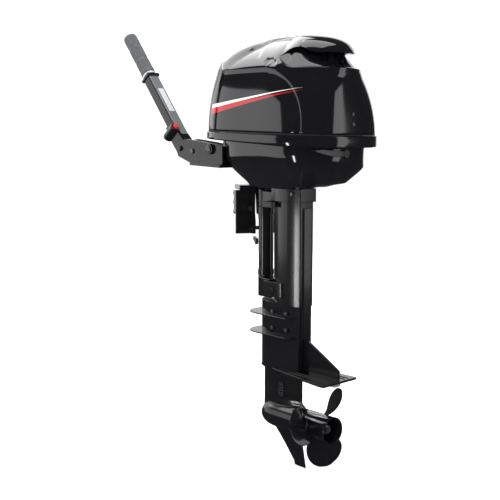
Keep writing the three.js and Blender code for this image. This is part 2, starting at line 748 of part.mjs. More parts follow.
// The tray below the rim: an upright wall over a knuckle, then a slope in to the neck.
function trayForm(inset, floor, above) {
  const shape = roundedRectangle(
    trayFront + inset, trayAft - inset, -trayHalf + inset, trayHalf - inset, trayCorner - inset);
  const steps = 4;
  const middle = (neckFront + neckAft) / 2;
  return reshaped(extruded(shape, steps, steps), (x, y, level) => {
    if (level >= steps - 1) {
      const share = level - (steps - 1);
      return [x, y, blendTo(trayKnuckle, rimTop(x) + above, share)];
    }
    const share = 1 - level / (steps - 1);
    const bend = share ** 1.15;
    const alongTray = (x - trayFront) / (trayAft - trayFront);
    const neckX = blendTo(neckFront + inset, neckAft - inset, alongTray);
    const neckY = y / trayHalf * neckHalf;
    const pinch = 1 - neckPinch * Math.max(0, (neckX - middle) / (neckAft - middle));
    return [blendTo(x, neckX, bend), blendTo(y, neckY * pinch, bend), blendTo(trayKnuckle, floor, share)];
  });
}

function rimForm(inset, below, above) {
  const shape = roundedRectangle(
    rimFront + inset, rimAft - inset, -rimHalf + inset, rimHalf - inset, rimCorner - inset);
  return reshaped(extruded(shape, 1, 1, 6), (x, y, level) => [x, y, level > 0.5 ? above(x) : below(x)]);
}

function lowerCowl() {
  const tray = trayForm(0, trayFloor - cowlWall, -1);
  const rim = rimForm(0, rimBottom, rimTop);
  const room = trayForm(cowlWall, trayFloor, 6);
  const legWay = standing(
    roundedRectangle(legFront - 1.5, legAft + 1.5, -legHalf - 1.5, legHalf + 1.5, 4), 0, trayKnuckle);
  const leverWay = rod(
    [shiftLeverX, shiftLeverY - 30, shiftLeverZ], [shiftLeverX, shiftLeverY + 30, shiftLeverZ], 6 + runningGap);
  const gripWay = rod([-140, 0, starterZ], [-60, 0, starterZ], 9 + runningGap);
  const chokeWay = rod([-140, chokeY, chokeZ], [-40, chokeY, chokeZ], 4 + runningGap);
  const fuelWay = rod([-140, fuelY, chokeZ], [-40, fuelY, chokeZ], 6 + gap);
  const latchWay = rod([trayAft - 20, latchY, latchZ], [trayAft + 20, latchY, latchZ], 4 + runningGap);
  return cut(join(tray, rim), room, legWay, leverWay, gripWay, chokeWay, fuelWay, latchWay);
}
const starterZ = 108;
const chokeY = 44;
const chokeZ = 100;
const fuelY = -44;
const latchY = -5;
const latchZ = 96;
place(motor, 'lower_cowl', lowerCowl(), 'glossBlack');

place(motor, 'cowl_seal', cut(
  rimForm(hoodInset, (x) => rimTop(x) + gap, (x) => rimTop(x) + sealThick),
  rimForm(hoodInset + 7, (x) => rimTop(x) - 5, (x) => rimTop(x) + 9)), 'rubber');

// --- Hood -------------------------------------------------------------------------------------------
const hoodSeat = sealThick + gap;

function hoodForm(inset, drop) {
  const edge = hoodInset + inset;
  const shape = roundedRectangle(
    rimFront + edge, rimAft - edge, -rimHalf + edge, rimHalf - edge, rimCorner - edge);
  const steps = 4;
  const middle = (rimFront + rimAft) / 2;
  const body = reshaped(extruded(shape, 1, steps, 6), (x, y, level) => {
    const foot = rimTop(x) + hoodSeat - drop;
    const height = blendTo(foot, hoodTop + 10, level);
    const narrow = hoodNarrowing * level ** 2;
    const reach = (rimAft - rimFront) / 2;
    return [x - (x - middle) / reach * narrow, y * (1 - narrow / rimHalf), height];
  });
  const sideLine = curved([
    [-103 + inset, 285], [-97 + inset, 304], [-76 + inset, 322 - inset], [-20, 345 - inset], [40, 360 - inset],
    [110, hoodTop - inset], [173, 362 - inset], [225, 353 - inset], [251 - inset, 342 - inset],
    [260 - inset, 326], [265 - inset, 290],
  ], 16);
  const side = profiled(outline([
    [-140, 100], [300, 100], [300, 290], ...sideLine.reverse(), [-140, 285],
  ]), -160, 160);
  const starboardLine = curved([
    [132 - inset, 262], [128 - inset, 286], [116 - inset, 306 - inset], [92, 328 - inset], [60, 348 - inset],
    [28, 362 - inset], [0, hoodTop + 1 - inset],
  ], 8);
  const portLine = starboardLine.slice(0, -1).map(([y, z]) => [-y, z]).reverse();
  const front = fronted(outline([[-150, 100], [150, 100], [150, 262], ...starboardLine, ...portLine, [-150, 262]]),
    -150, 320);
  return meet(body, side, front);
}

// The air intake and hand hold: a band cut in round the aft top, back to an inner wall.
function recess(margin) {
  const mouth = profiled(outline([
    ...curved([
      [320, recessLip - margin], [226, recessLip - margin], [200, recessLip + 14 - margin],
      [recessFront - margin, recessLip + 34], [200, recessRoof - 1 + margin], [226, recessRoof + margin],
      [320, recessRoof + margin],
    ], 12),
  ].reverse()), -160, 160);
  const core = standing(roundedRectangle(
    -60, rimAft - 23 - recessDepth - margin, -122 + recessDepth + margin, 122 - recessDepth - margin, 40 - margin),
  recessLip - 30, recessRoof + 30);
  return cut(mouth, core);
}

function hood() {
  const outer = cut(hoodForm(0, 0), recess(0));
  const inner = cut(hoodForm(cowlWall, 5), recess(cowlWall));
  return cut(outer, inner);
}
place(motor, 'hood', hood(), 'glossBlack');

// --- Cowl latch, on the aft wall of the lower cowl --------------------------------------------------
place(motor, 'cowl_latch', join(
  rod([trayAft - 14, latchY, latchZ], [trayAft + 9, latchY, latchZ], 4),
  rod([trayAft + 2, latchY, latchZ], [trayAft + 9, latchY, latchZ], 10),
  fronted(outline(curved([
    [latchY, latchZ + 7], [latchY - 40, latchZ + 8], [latchY - 78, latchZ + 11], [latchY - 100, latchZ + 9],
    [latchY - 80, latchZ + 1], [latchY - 40, latchZ - 6], [latchY, latchZ - 7],
  ], 14)), trayAft + 3, trayAft + 8)), 'satinBlack');

// --- Powerhead --------------------------------------------------------------------------------------
const boreClear = 9 + runningGap;
function engineBlock() {
  const case_ = standing(
    roundedRectangle(crankcaseFront, driveX + crankcaseHalf, -crankcaseHalf, crankcaseHalf, 14), blockFloor, blockRoof);
  const cylinders = box(driveX, cylinderAft, -cylinderHalf, cylinderHalf, blockFloor + 14, blockRoof - 14);
  const foot = standing(roundedRectangle(legFront - 4, legAft + 4, -50, 50, 8), blockFloor - footThick, blockFloor + 2);
  const shaftWay = rod([driveX, 0, blockFloor - 20], [driveX, 0, blockRoof + 10], boreClear, boreClear, 24);
  return cut(join(case_, cylinders, foot), shaftWay);
}
place(motor, 'engine_block', engineBlock(), 'castAluminium');
place(motor, 'cylinder_head', box(cylinderAft + gap, cylinderAft + headThick, -cylinderHalf, cylinderHalf,
  blockFloor + 14, blockRoof - 14), 'castAluminium');

const plugX = cylinderAft + headThick + gap;
for (const [name, z] of [['lower_spark_plug', blockFloor + 42], ['upper_spark_plug', blockRoof - 42]]) {
  place(motor, name, join(
    rod([plugX, 0, z], [plugX + 8, 0, z], plugRadius, plugRadius, 6),
    rod([plugX + 8, 0, z], [plugX + 26, 0, z], plugRadius - 3, plugRadius - 4, 14)), 'ceramic');
}

const carbAft = crankcaseFront - gap;
place(motor, 'carburettor', join(
  box(carbAft - 34, carbAft, -24, 24, 150, 196),
  rod([carbAft - 34, 0, 173], [carbAft - 58, 0, 173], 20, 24),
  rod([carbAft - 17, 0, 150], [carbAft - 17, 0, 126], 17, 15)), 'castAluminium');
place(motor, 'ignition_coil', box(driveX - 30, driveX + 20, crankcaseHalf + gap, crankcaseHalf + 24, 176, 214), 'matBlack');

const crankTop = blockRoof + flywheelHeight + 14;
place(motor, 'crankshaft', join(
  rod([driveX, 0, blockFloor - 7], [driveX, 0, crankTop], 9, 9, 24),
  rod([driveX, 0, blockRoof + 1], [driveX, 0, blockRoof + 4], 14)), 'brightSteel');
place(motor, 'flywheel', turned([
  [9 + gap, blockRoof + 5], [26, blockRoof + 5], [flywheelRadius - 10, blockRoof + 5],
  [flywheelRadius, blockRoof + 10], [flywheelRadius, blockRoof + 5 + flywheelHeight],
  [9 + gap, blockRoof + 5 + flywheelHeight], [9 + gap, blockRoof + 5],
], driveX, 0, 32), 'castAluminium');

const recoilFloor = crankTop + 2;
place(motor, 'recoil_starter', turned([
  [0, recoilFloor], [flywheelRadius + 5, recoilFloor], [flywheelRadius + 5, recoilFloor + 12],
  [flywheelRadius - 14, recoilFloor + recoilHeight], [0, recoilFloor + recoilHeight],
], driveX, 0, 32), 'matBlack');

// --- Controls on the front of the lower cowl --------------------------------------------------------
place(motor, 'starter_grip', join(
  rod([trayFront - 34, -26, starterZ], [trayFront - 34, 26, starterZ], 10, 10, 16),
  rod([trayFront - 34, 0, starterZ], [trayFront + 12, 0, starterZ], 8)), 'matBlack');
place(motor, 'choke_knob', join(
  rod([trayFront - 14, chokeY, chokeZ], [trayFront - 6, chokeY, chokeZ], 11),
  rod([trayFront - 7, chokeY, chokeZ], [trayFront + 30, chokeY, chokeZ], 3.5)), 'matBlack');
place(motor, 'fuel_connector', join(
  rod([trayFront - 22, fuelY, chokeZ], [trayFront + 14, fuelY, chokeZ], 6),
  rod([trayFront - 4, fuelY, chokeZ], [trayFront - 1, fuelY, chokeZ], 11)), 'darkSteel');

// --- Tiller -----------------------------------------------------------------------------------------
const tillerHalf = tillerThick / 2;
function tillerBracket() {
  const cheeks = profiled(outline([
    [hingeX - 16, hingeZ - 6], [hingeX - 8, hingeZ - 18], [-150, 66], [-60, 64], [-34, 76], [-34, 112],
    [-110, 120], [-170, 126], [hingeX - 10, hingeZ + 18],
  ]), tillerY - tillerHalf, tillerY + tillerHalf);
  const slot = box(hingeX - 40, hingeX + elbowRadius + 2, tillerY - armWidth / 2 - gap, tillerY + armWidth / 2 + gap, 40, 160);
  const pinWay = rod([hingeX, -200, hingeZ], [hingeX, 0, hingeZ], hingePinRadius + gap);
  return cut(cheeks, slot, pinWay, trayForm(-gap, trayFloor - cowlWall - gap, 0));
}
place(motor, 'tiller_bracket', tillerBracket(), 'satinBlack');

const buttonFloor = buttonBossTop - 10;

// The tiller reaches forward from its hinge when it is lowered, and the whole group is raised at rest.
function tillerArm() {
  const elbow = rod([0, -armWidth / 2, 0], [0, armWidth / 2, 0], elbowRadius, elbowRadius, 24);
  const pin = rod([0, -tillerHalf - 5, 0], [0, tillerHalf + 5, 0], hingePinRadius);
  const bar = box(-armLength, 0, -armWidth / 2, armWidth / 2, -armDepth / 2, armDepth / 2);
  const collar = box(-armLength - 6, -armLength + 2, -19, 19, -18, 18);
  const spindle = rod([-armLength, 0, 0], [-armLength - gripLength + 12, 0, 0], gripShaftRadius);
  const boss = rod(
    [stopButtonX, stopButtonY, buttonBossBottom], [stopButtonX, stopButtonY, buttonBossTop], buttonBossRadius);
  const buttonWay = rod(
    [stopButtonX, stopButtonY, buttonFloor], [stopButtonX, stopButtonY, 60], stopButtonRadius + runningGap);
  return cut(join(elbow, pin, bar, collar, spindle, boss), buttonWay);
}
place(tiller, 'tiller_arm', tillerArm(), 'castAluminium');

const gripBase = -armLength - 7;
place(tiller, 'throttle_grip', cut(
  turnedAft([
    [0, gripBase - gripLength], [gripRadius - 4, gripBase - gripLength], [gripRadius, gripBase - gripLength + 5],
    [gripRadius, gripBase - 12], [gripRadius + 2, gripBase - 10], [gripRadius + 2, gripBase], [0, gripBase],
  ], 0, 0, 28),
  rod([gripBase + 2, 0, 0], [gripBase - gripLength + 16, 0, 0], gripShaftRadius + runningGap)), 'greyRubber');

place(tiller, 'stop_button', rod(
  [stopButtonX, stopButtonY, buttonFloor + 4], [stopButtonX, stopButtonY, buttonBossTop + stopButtonProud],
  stopButtonRadius), 'redPlastic');

export default outboard;
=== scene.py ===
import json
import math

import bmesh
import bpy
from mathutils import Matrix, Vector


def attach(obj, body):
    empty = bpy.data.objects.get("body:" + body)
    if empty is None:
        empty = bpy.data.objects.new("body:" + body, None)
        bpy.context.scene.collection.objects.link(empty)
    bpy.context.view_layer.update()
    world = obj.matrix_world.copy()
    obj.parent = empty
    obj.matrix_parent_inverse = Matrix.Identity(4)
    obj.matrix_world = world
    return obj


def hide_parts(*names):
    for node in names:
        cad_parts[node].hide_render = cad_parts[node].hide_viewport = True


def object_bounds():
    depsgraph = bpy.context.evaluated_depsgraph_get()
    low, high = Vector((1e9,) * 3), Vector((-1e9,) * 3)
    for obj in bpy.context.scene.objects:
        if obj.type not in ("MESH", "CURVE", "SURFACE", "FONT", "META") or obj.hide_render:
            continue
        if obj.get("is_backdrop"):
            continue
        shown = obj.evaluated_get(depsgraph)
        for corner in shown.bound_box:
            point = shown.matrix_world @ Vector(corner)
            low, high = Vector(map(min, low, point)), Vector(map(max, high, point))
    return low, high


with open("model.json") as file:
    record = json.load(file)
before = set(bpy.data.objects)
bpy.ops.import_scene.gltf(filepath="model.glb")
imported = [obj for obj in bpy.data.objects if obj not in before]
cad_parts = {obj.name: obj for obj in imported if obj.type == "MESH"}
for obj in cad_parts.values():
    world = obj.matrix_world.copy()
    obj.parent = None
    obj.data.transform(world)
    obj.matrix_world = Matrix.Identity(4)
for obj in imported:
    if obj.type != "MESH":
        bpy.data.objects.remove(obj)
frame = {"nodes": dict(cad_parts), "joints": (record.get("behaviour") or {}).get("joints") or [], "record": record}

cadLow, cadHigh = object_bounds()
joints = {joint["name"]: joint for joint in frame["joints"]}
slots = {part["node"]: part["material_slot"] for part in frame["record"]["subparts"]}

# Shapes are drawn in millimetres in the frame of the part they belong to, and placed in metres.
toMetres = Matrix.Scale(0.001, 4)
aftAxis = Vector(joints["propeller_spin"]["axis"]).normalized()
steerPoint = Vector(joints["steering"]["pos_m"])
sideAxis = Vector((-aftAxis.y, aftAxis.x, 0))


def placeAt(origin, xAxis, yAxis):
    zAxis = xAxis.cross(yAxis)
    turn = Matrix((xAxis, yAxis, zAxis)).transposed().to_4x4()
    return Matrix.Translation(origin) @ turn @ toMetres


clampPlace = toMetres
motorPlace = placeAt(Vector((steerPoint.x, steerPoint.y, 0)), aftAxis, sideAxis)
tillerPlace = placeAt(Vector(joints["tiller_fold"]["pos_m"]), -Vector(joints["throttle"]["axis"]), sideAxis)
print("frame loaded")


def clamp01(value):
    return max(0.0, min(1.0, value))


def smooth(low, high, value):
    share = clamp01((value - low) / (high - low))
    return share * share * (3 - 2 * share)


def mix(first, last, share):
    return first + (last - first) * share


# Materials: a base colour with a little mottling, uneven roughness and a fine grain.
def link(tree, fromSocket, toSocket):
    tree.links.new(fromSocket, toSocket)


def makeFinish(name, colour, rough, metal=0.0, coat=0.0, mottle=0.25, grain=140.0, bump=0.06, spread=0.08):
    material = bpy.data.materials.new(name)
    material.use_nodes = True
    tree = material.node_tree
    shader = tree.nodes["Principled BSDF"]
    shader.inputs["Metallic"].default_value = metal
    shader.inputs["Coat Weight"].default_value = coat
    shader.inputs["Coat Roughness"].default_value = 0.08
    coords = tree.nodes.new("ShaderNodeTexCoord")
    cloud = tree.nodes.new("ShaderNodeTexNoise")
    cloud.inputs["Scale"].default_value = 9.0
    cloud.inputs["Detail"].default_value = 4.0
    fine = tree.nodes.new("ShaderNodeTexNoise")
    fine.inputs["Scale"].default_value = grain
    fine.inputs["Detail"].default_value = 3.0
    link(tree, coords.outputs["Object"], cloud.inputs["Vector"])
    link(tree, coords.outputs["Object"], fine.inputs["Vector"])
    ramp = tree.nodes.new("ShaderNodeValToRGB")
    dark = [part * (1 - mottle) for part in colour]
    light = [min(1.0, part * (1 + mottle)) for part in colour]
    ramp.color_ramp.elements[0].color = (*dark, 1)
    ramp.color_ramp.elements[1].color = (*light, 1)
    link(tree, cloud.outputs["Fac"], ramp.inputs["Fac"])
    link(tree, ramp.outputs["Color"], shader.inputs["Base Color"])
    uneven = tree.nodes.new("ShaderNodeMapRange")
    uneven.inputs["To Min"].default_value = max(0.02, rough - spread)
    uneven.inputs["To Max"].default_value = min(1.0, rough + spread)
    link(tree, cloud.outputs["Fac"], uneven.inputs["Value"])
    link(tree, uneven.outputs["Result"], shader.inputs["Roughness"])
    dents = tree.nodes.new("ShaderNodeBump")
    dents.inputs["Strength"].default_value = bump
    dents.inputs["Distance"].default_value = 0.001
    link(tree, fine.outputs["Fac"], dents.inputs["Height"])
    link(tree, dents.outputs["Normal"], shader.inputs["Normal"])
    return material


paintBlack = (0.005, 0.005, 0.006)
finishes = {
    "gloss_black": makeFinish("glossPaint", paintBlack, 0.08, coat=0.6, mottle=0.2, bump=0.004, spread=0.02),
    "satin_black": makeFinish("satinPaint", paintBlack, 0.2, coat=0.3, bump=0.025, spread=0.04),
    "prop_black": makeFinish("propellerPaint", paintBlack, 0.12, coat=0.4, bump=0.012, spread=0.03),
    "matt_black": makeFinish("mattPlastic", (0.012, 0.012, 0.013), 0.45, bump=0.06),
    "rubber": makeFinish("blackRubber", (0.022, 0.022, 0.024), 0.75, bump=0.15),
    "grey_rubber": makeFinish("greyRubber", (0.08, 0.085, 0.09), 0.5, bump=0.03),
    "cast_aluminium": makeFinish("castAluminium", (0.36, 0.37, 0.38), 0.42, metal=0.85, bump=0.12),
    "bright_steel": makeFinish("brightSteel", (0.62, 0.63, 0.64), 0.22, metal=1.0, bump=0.03),
    "dark_steel": makeFinish("darkSteel", (0.16, 0.16, 0.17), 0.36, metal=0.9, bump=0.06),
    "copper": makeFinish("copperTube", (0.55, 0.3, 0.17), 0.32, metal=1.0, bump=0.03),
    "zinc": makeFinish("zincAnode", (0.42, 0.43, 0.42), 0.6, metal=0.7, bump=0.25, grain=60),
    "red": makeFinish("redPlastic", (0.6, 0.03, 0.02), 0.3, mottle=0.1, bump=0.03),
    "ceramic": makeFinish("whiteCeramic", (0.74, 0.72, 0.68), 0.25, mottle=0.05, bump=0.02),
}
finishes["labelGrey"] = makeFinish("paleLabel", (0.5, 0.52, 0.53), 0.35, mottle=0.12, bump=0.02)
# The arm's own grey goes on its top plate only; the arm's sides are drawn black as painted shade.
finishes["armGrey"] = makeFinish("greyArmPaint", (0.2, 0.21, 0.22), 0.34, metal=0.4, mottle=0.12, bump=0.06)

stripes = {
    "foreX": -56, "aftX": 232, "sideY": 104,
    "white": {"foreZ": 206, "aftZ": 242, "half": 4.5, "colour": (0.7, 0.7, 0.7, 1)},
    "red": {"foreZ": 195, "aftZ": 237, "half": 7.5, "colour": (0.4, 0.008, 0.012, 1)},
}


# The hood's paint carries two plain tapering stripes on each side.
def makeStripedPaint():
    material = makeFinish("hoodPaint", paintBlack, 0.07, coat=0.6, mottle=0.2, bump=0.002, spread=0.02)
    tree = material.node_tree
    shader = tree.nodes["Principled BSDF"]

    def number(kind, first, second=None):
        node = tree.nodes.new("ShaderNodeMath")
        node.operation = kind
        for socket, value in zip(node.inputs, (first, second)):
            if value is None:
                continue
            if isinstance(value, (int, float)):
                socket.default_value = value
            else:
                link(tree, value, socket)
        return node.outputs["Value"]

    coords = tree.nodes.new("ShaderNodeTexCoord")
    centred = tree.nodes.new("ShaderNodeMapping")
    unturn = Matrix.Rotation(-math.atan2(aftAxis.y, aftAxis.x), 4, "Z")
    centred.inputs["Location"].default_value = unturn @ -Vector((steerPoint.x, steerPoint.y, 0))
    centred.inputs["Rotation"].default_value = unturn.to_euler()
    link(tree, coords.outputs["Object"], centred.inputs["Vector"])
    split = tree.nodes.new("ShaderNodeSeparateXYZ")
    link(tree, centred.outputs["Vector"], split.inputs["Vector"])
    foreX = stripes["foreX"] / 1000
    length = (stripes["aftX"] - stripes["foreX"]) / 1000
    along = number("DIVIDE", number("SUBTRACT", split.outputs["X"], foreX), length)
    onSide = number("GREATER_THAN", number("ABSOLUTE", split.outputs["Y"]), stripes["sideY"] / 1000)
    started = number("GREATER_THAN", along, 0.0)
    colour = shader.inputs["Base Color"].links[0].from_socket
    for stripe in (stripes["red"], stripes["white"]):
        rise = (stripe["aftZ"] - stripe["foreZ"]) / 1000
        middle = number("ADD", number("MULTIPLY", along, rise), stripe["foreZ"] / 1000)
        away = number("ABSOLUTE", number("SUBTRACT", split.outputs["Z"], middle))
        half = number("MULTIPLY", number("SUBTRACT", 1.0, along), stripe["half"] / 1000)
        inside = number("LESS_THAN", away, half)
        mask = number("MULTIPLY", number("MULTIPLY", inside, onSide), started)
        blend = tree.nodes.new("ShaderNodeMix")
        blend.data_type = "RGBA"
        link(tree, mask, blend.inputs["Factor"])
        link(tree, colour, blend.inputs[6])
        blend.inputs[7].default_value = stripe["colour"]
        colour = blend.outputs[2]
    link(tree, colour, shader.inputs["Base Color"])
    return material


finishes["hoodPaint"] = makeStripedPaint()
print("materials ready")


# Shapes
mergeDistance = 0.01


def newPiece(name, bm, body, finish, place, replaced=(), sharp=32, bevel=0.0, wall=0.0):
    bmesh.ops.remove_doubles(bm, verts=bm.verts[:], dist=mergeDistance)
    bmesh.ops.recalc_face_normals(bm, faces=bm.faces[:])
    bmesh.ops.transform(bm, matrix=place, verts=bm.verts[:])
    mesh = bpy.data.meshes.new(name)
    bm.to_mesh(mesh)
    bm.free()
    mesh.shade_smooth()
    mesh.set_sharp_from_angle(angle=math.radians(sharp))
    mesh.materials.append(finishes[finish])
    piece = bpy.data.objects.new(name, mesh)
    bpy.context.scene.collection.objects.link(piece)
    if wall:
        thick = piece.modifiers.new("wall", "SOLIDIFY")
        thick.thickness = wall
        thick.offset = -1
    if bevel:
        edge = piece.modifiers.new("edges", "BEVEL")
        edge.width = bevel
        edge.segments = 2
        edge.limit_method = "ANGLE"
        edge.angle_limit = math.radians(35)
        edge.harden_normals = True
    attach(piece, body)
    if replaced:
        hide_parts(*replaced)
    return piece


def axisPoint(axis, first, second, along):
    return {"X": (along, first, second), "Y": (first, along, second), "Z": (first, second, along)}[axis]


def addPrism(bm, outline, low, high, axis="Z"):
    made = bmesh.ops.create_circle(bm, cap_ends=True, segments=len(outline), radius=1)
    for vert, (first, second) in zip(made["verts"], outline):
        vert.co = axisPoint(axis, first, second, low)
    faces = list({face for vert in made["verts"] for face in vert.link_faces})
    grown = bmesh.ops.extrude_face_region(bm, geom=faces)["geom"]
    moved = [item for item in grown if isinstance(item, bmesh.types.BMVert)]
    bmesh.ops.translate(bm, verts=moved, vec=Vector(axisPoint(axis, 0, 0, high - low)))
    verts = made["verts"] + moved
    edges = list({edge for vert in verts for edge in vert.link_edges if edge.is_boundary})
    if edges:
        bmesh.ops.holes_fill(bm, edges=edges)
    return verts


def addBox(bm, low, high):
    outline = [(low[0], low[1]), (high[0], low[1]), (high[0], high[1]), (low[0], high[1])]
    return addPrism(bm, outline, low[2], high[2])


def addRod(bm, start, end, radius, sides=32):
    start, end = Vector(start), Vector(end)
    along = end - start
    turn = along.to_track_quat("Z", "Y").to_matrix().to_4x4()
    bmesh.ops.create_cone(
        bm, cap_ends=True, segments=sides, radius1=radius, radius2=radius,
        depth=along.length, matrix=Matrix.Translation((start + end) / 2) @ turn)


def addTurned(bm, profile, centre, axis, steps=64):
    zAxis = Vector(axis).normalized()
    across = zAxis.orthogonal().normalized()
    verts = [bm.verts.new(Vector(centre) + across * radius + zAxis * height) for radius, height in profile]
    edges = [bm.edges.new(pair) for pair in zip(verts, verts[1:])]
    bmesh.ops.spin(
        bm, geom=verts + edges, cent=Vector(centre), axis=zAxis, dvec=(0, 0, 0), angle=math.tau,
        steps=steps, use_merge=True, use_duplicate=False)


# A grid bent by a rule that takes shares from 0 to 1 round and along the sheet.
def addSheet(bm, around, along, rule, fill=True):
    made = bmesh.ops.create_grid(bm, x_segments=around, y_segments=along, size=0.5)
    for vert in made["verts"]:
        vert.co = rule(vert.co.x + 0.5, vert.co.y + 0.5)
    bmesh.ops.remove_doubles(bm, verts=made["verts"], dist=mergeDistance)
    openEdges = [edge for edge in bm.edges if edge.is_boundary]
    if fill and openEdges:
        bmesh.ops.holes_fill(bm, edges=openEdges)


# Unit points round a squared oval, evenly spaced on the outline with these half sizes.
def evenOval(power, halfLong, halfWide, count=2000):
    def raw(angle):
        c, s = math.cos(angle), math.sin(angle)
        return (
            math.copysign(abs(c) ** (2 / power), c),
            math.copysign(abs(s) ** (2 / power), s),
        )
    points = [raw(math.tau * i / count) for i in range(count + 1)]
    lengths = [0.0]
    for (ax, ay), (bx, by) in zip(points, points[1:]):
        lengths.append(lengths[-1] + math.hypot((bx - ax) * halfLong, (by - ay) * halfWide))

    def at(share):
        want = (share % 1.0) * lengths[-1]
        low, high = 0, count
        while high - low > 1:
            middle = (low + high) // 2
            if lengths[middle] <= want:
                low = middle
            else:
                high = middle
        part = (want - lengths[low]) / max(1e-9, lengths[high] - lengths[low])
        return (
            mix(points[low][0], points[high][0], part),
            mix(points[low][1], points[high][1], part),
        )
    return at


# Cowl rim and hood
rim = {
    "front": -120, "aft": 285, "half": 145, "topFront": 148, "slope": -0.0296,
    "thickFront": 17, "thickAft": 27,
}
rimCentre = (rim["front"] + rim["aft"]) / 2
rimReach = (rim["aft"] - rim["front"]) / 2


def rimTop(x):
    return rim["topFront"] + rim["slope"] * (x - rim["front"])


def rimBottom(x):
    return rimTop(x) - mix(rim["thickFront"], rim["thickAft"], (x - rim["front"]) / (2 * rimReach))


hood = {
    "inset": 8, "seat": 2.9, "shoulder": 283, "top": 366, "narrowing": 18, "lean": 26,
    "power": 4.2, "aftPower": 2.5, "visorPower": 1.95,
    "around": 400, "wallRings": 34, "domeRings": 26, "wall": 0.003, "panelDepth": 3.2,
    "recessDepth": 38, "shelf": 0.22, "lip": 286, "roof": 333, "mouthEnd": 312, "roll": 2.6, "droop": 13,
}
hoodOval = evenOval(hood["power"], rimReach - hood["inset"], rim["half"] - hood["inset"])


def hoodSurface(px, py, z):
    foot = rimTop(rimCentre + px * rimReach) + hood["seat"]
    reachX = rimReach - hood["inset"]
    reachY = rim["half"] - hood["inset"]
    rise = clamp01((z - foot) / (hood["shoulder"] - foot))
    narrow = hood["narrowing"] * rise * rise
    height = clamp01((z - hood["shoulder"]) / (hood["top"] - hood["shoulder"]))
    roundness = 1.5 + 0.9 * smooth(0.5, 1.0, -px) + 1.6 * smooth(0.4, 1.0, px)
    lean = hood["lean"] * height * (1 - 0.4 * clamp01(px))
    aftPower = mix(hood["aftPower"], hood["visorPower"], smooth(0.0, 0.4, height))
    rounder = mix(hood["power"], aftPower, rise ** 1.6 * smooth(-0.1, 0.7, px))
    swell = (abs(px) ** rounder + abs(py) ** rounder) ** (1 / rounder)
    px, py = px / swell, py / swell
    turned = math.asin(min(1.0, height ** (roundness / 2)))
    shrink = max(0.0, math.cos(turned)) ** (2 / roundness)
    x = rimCentre + lean + px * (reachX - narrow) * shrink
    y = py * (reachY - narrow) * shrink
    return Vector((x, y, z))


# The side panel is flush at its edge and sunk inside it: straight in front, arched towards the aft end.
panel = {
    "front": -43, "rakeFrom": 150, "rake": 12, "foot": 147, "high": 143, "soft": 7,
    "archFrom": 93, "archLong": 150, "archFall": 145, "power": 2.2,
}


def panelMask(x, z):
    front = x - panel["front"] - (z - panel["rakeFrom"]) / panel["rake"]
    if x < panel["archFrom"]:
        top = panel["foot"] + panel["high"] - z
    else:
        across = (x - panel["archFrom"]) / panel["archLong"]
        upward = max(0.0, z - panel["foot"]) / panel["high"]
        reach = across ** panel["power"] + upward ** panel["power"]
        top = (1 - reach ** (1 / panel["power"])) * panel["archFall"]
    return smooth(0, panel["soft"], min(front, top))


eyelet = {"x": 132, "z": 303, "long": 20, "high": 5.5, "tilt": -0.3, "depth": 5}
crest = {"x0": 45, "y0": 30, "x1": 92, "y1": 118, "step": 2.4, "soft": 3}


def eyeletMask(x, z):
    c, s = math.cos(eyelet["tilt"]), math.sin(eyelet["tilt"])
    along = ((x - eyelet["x"]) * c + (z - eyelet["z"]) * s) / eyelet["long"]
    across = ((z - eyelet["z"]) * c - (x - eyelet["x"]) * s) / eyelet["high"]
    return smooth(1.15, 0.75, math.hypot(along, across))


# The mouth's height and depth grow from its rounded forward end.
def mouthOpen(px):
    share = smooth(0.4, 0.8, px)
    return math.sqrt(share * (2 - share))


hoodRings = []
for ring in range(hood["wallRings"] + 1):
    hoodRings.append(("wall", ring / hood["wallRings"]))
for depth in (0.04, 0.12, 0.5, 0.94, 1.0):
    hoodRings.append(("ledge", depth))
for rise in (0.05, 0.3, 0.6, 0.95):
    hoodRings.append(("core", rise))
for depth in (0.94, 0.5, 0.16, 0.06):
    hoodRings.append(("roof", depth))
for ring in range(hood["domeRings"] + 1):
    hoodRings.append(("dome", ring / hood["domeRings"]))


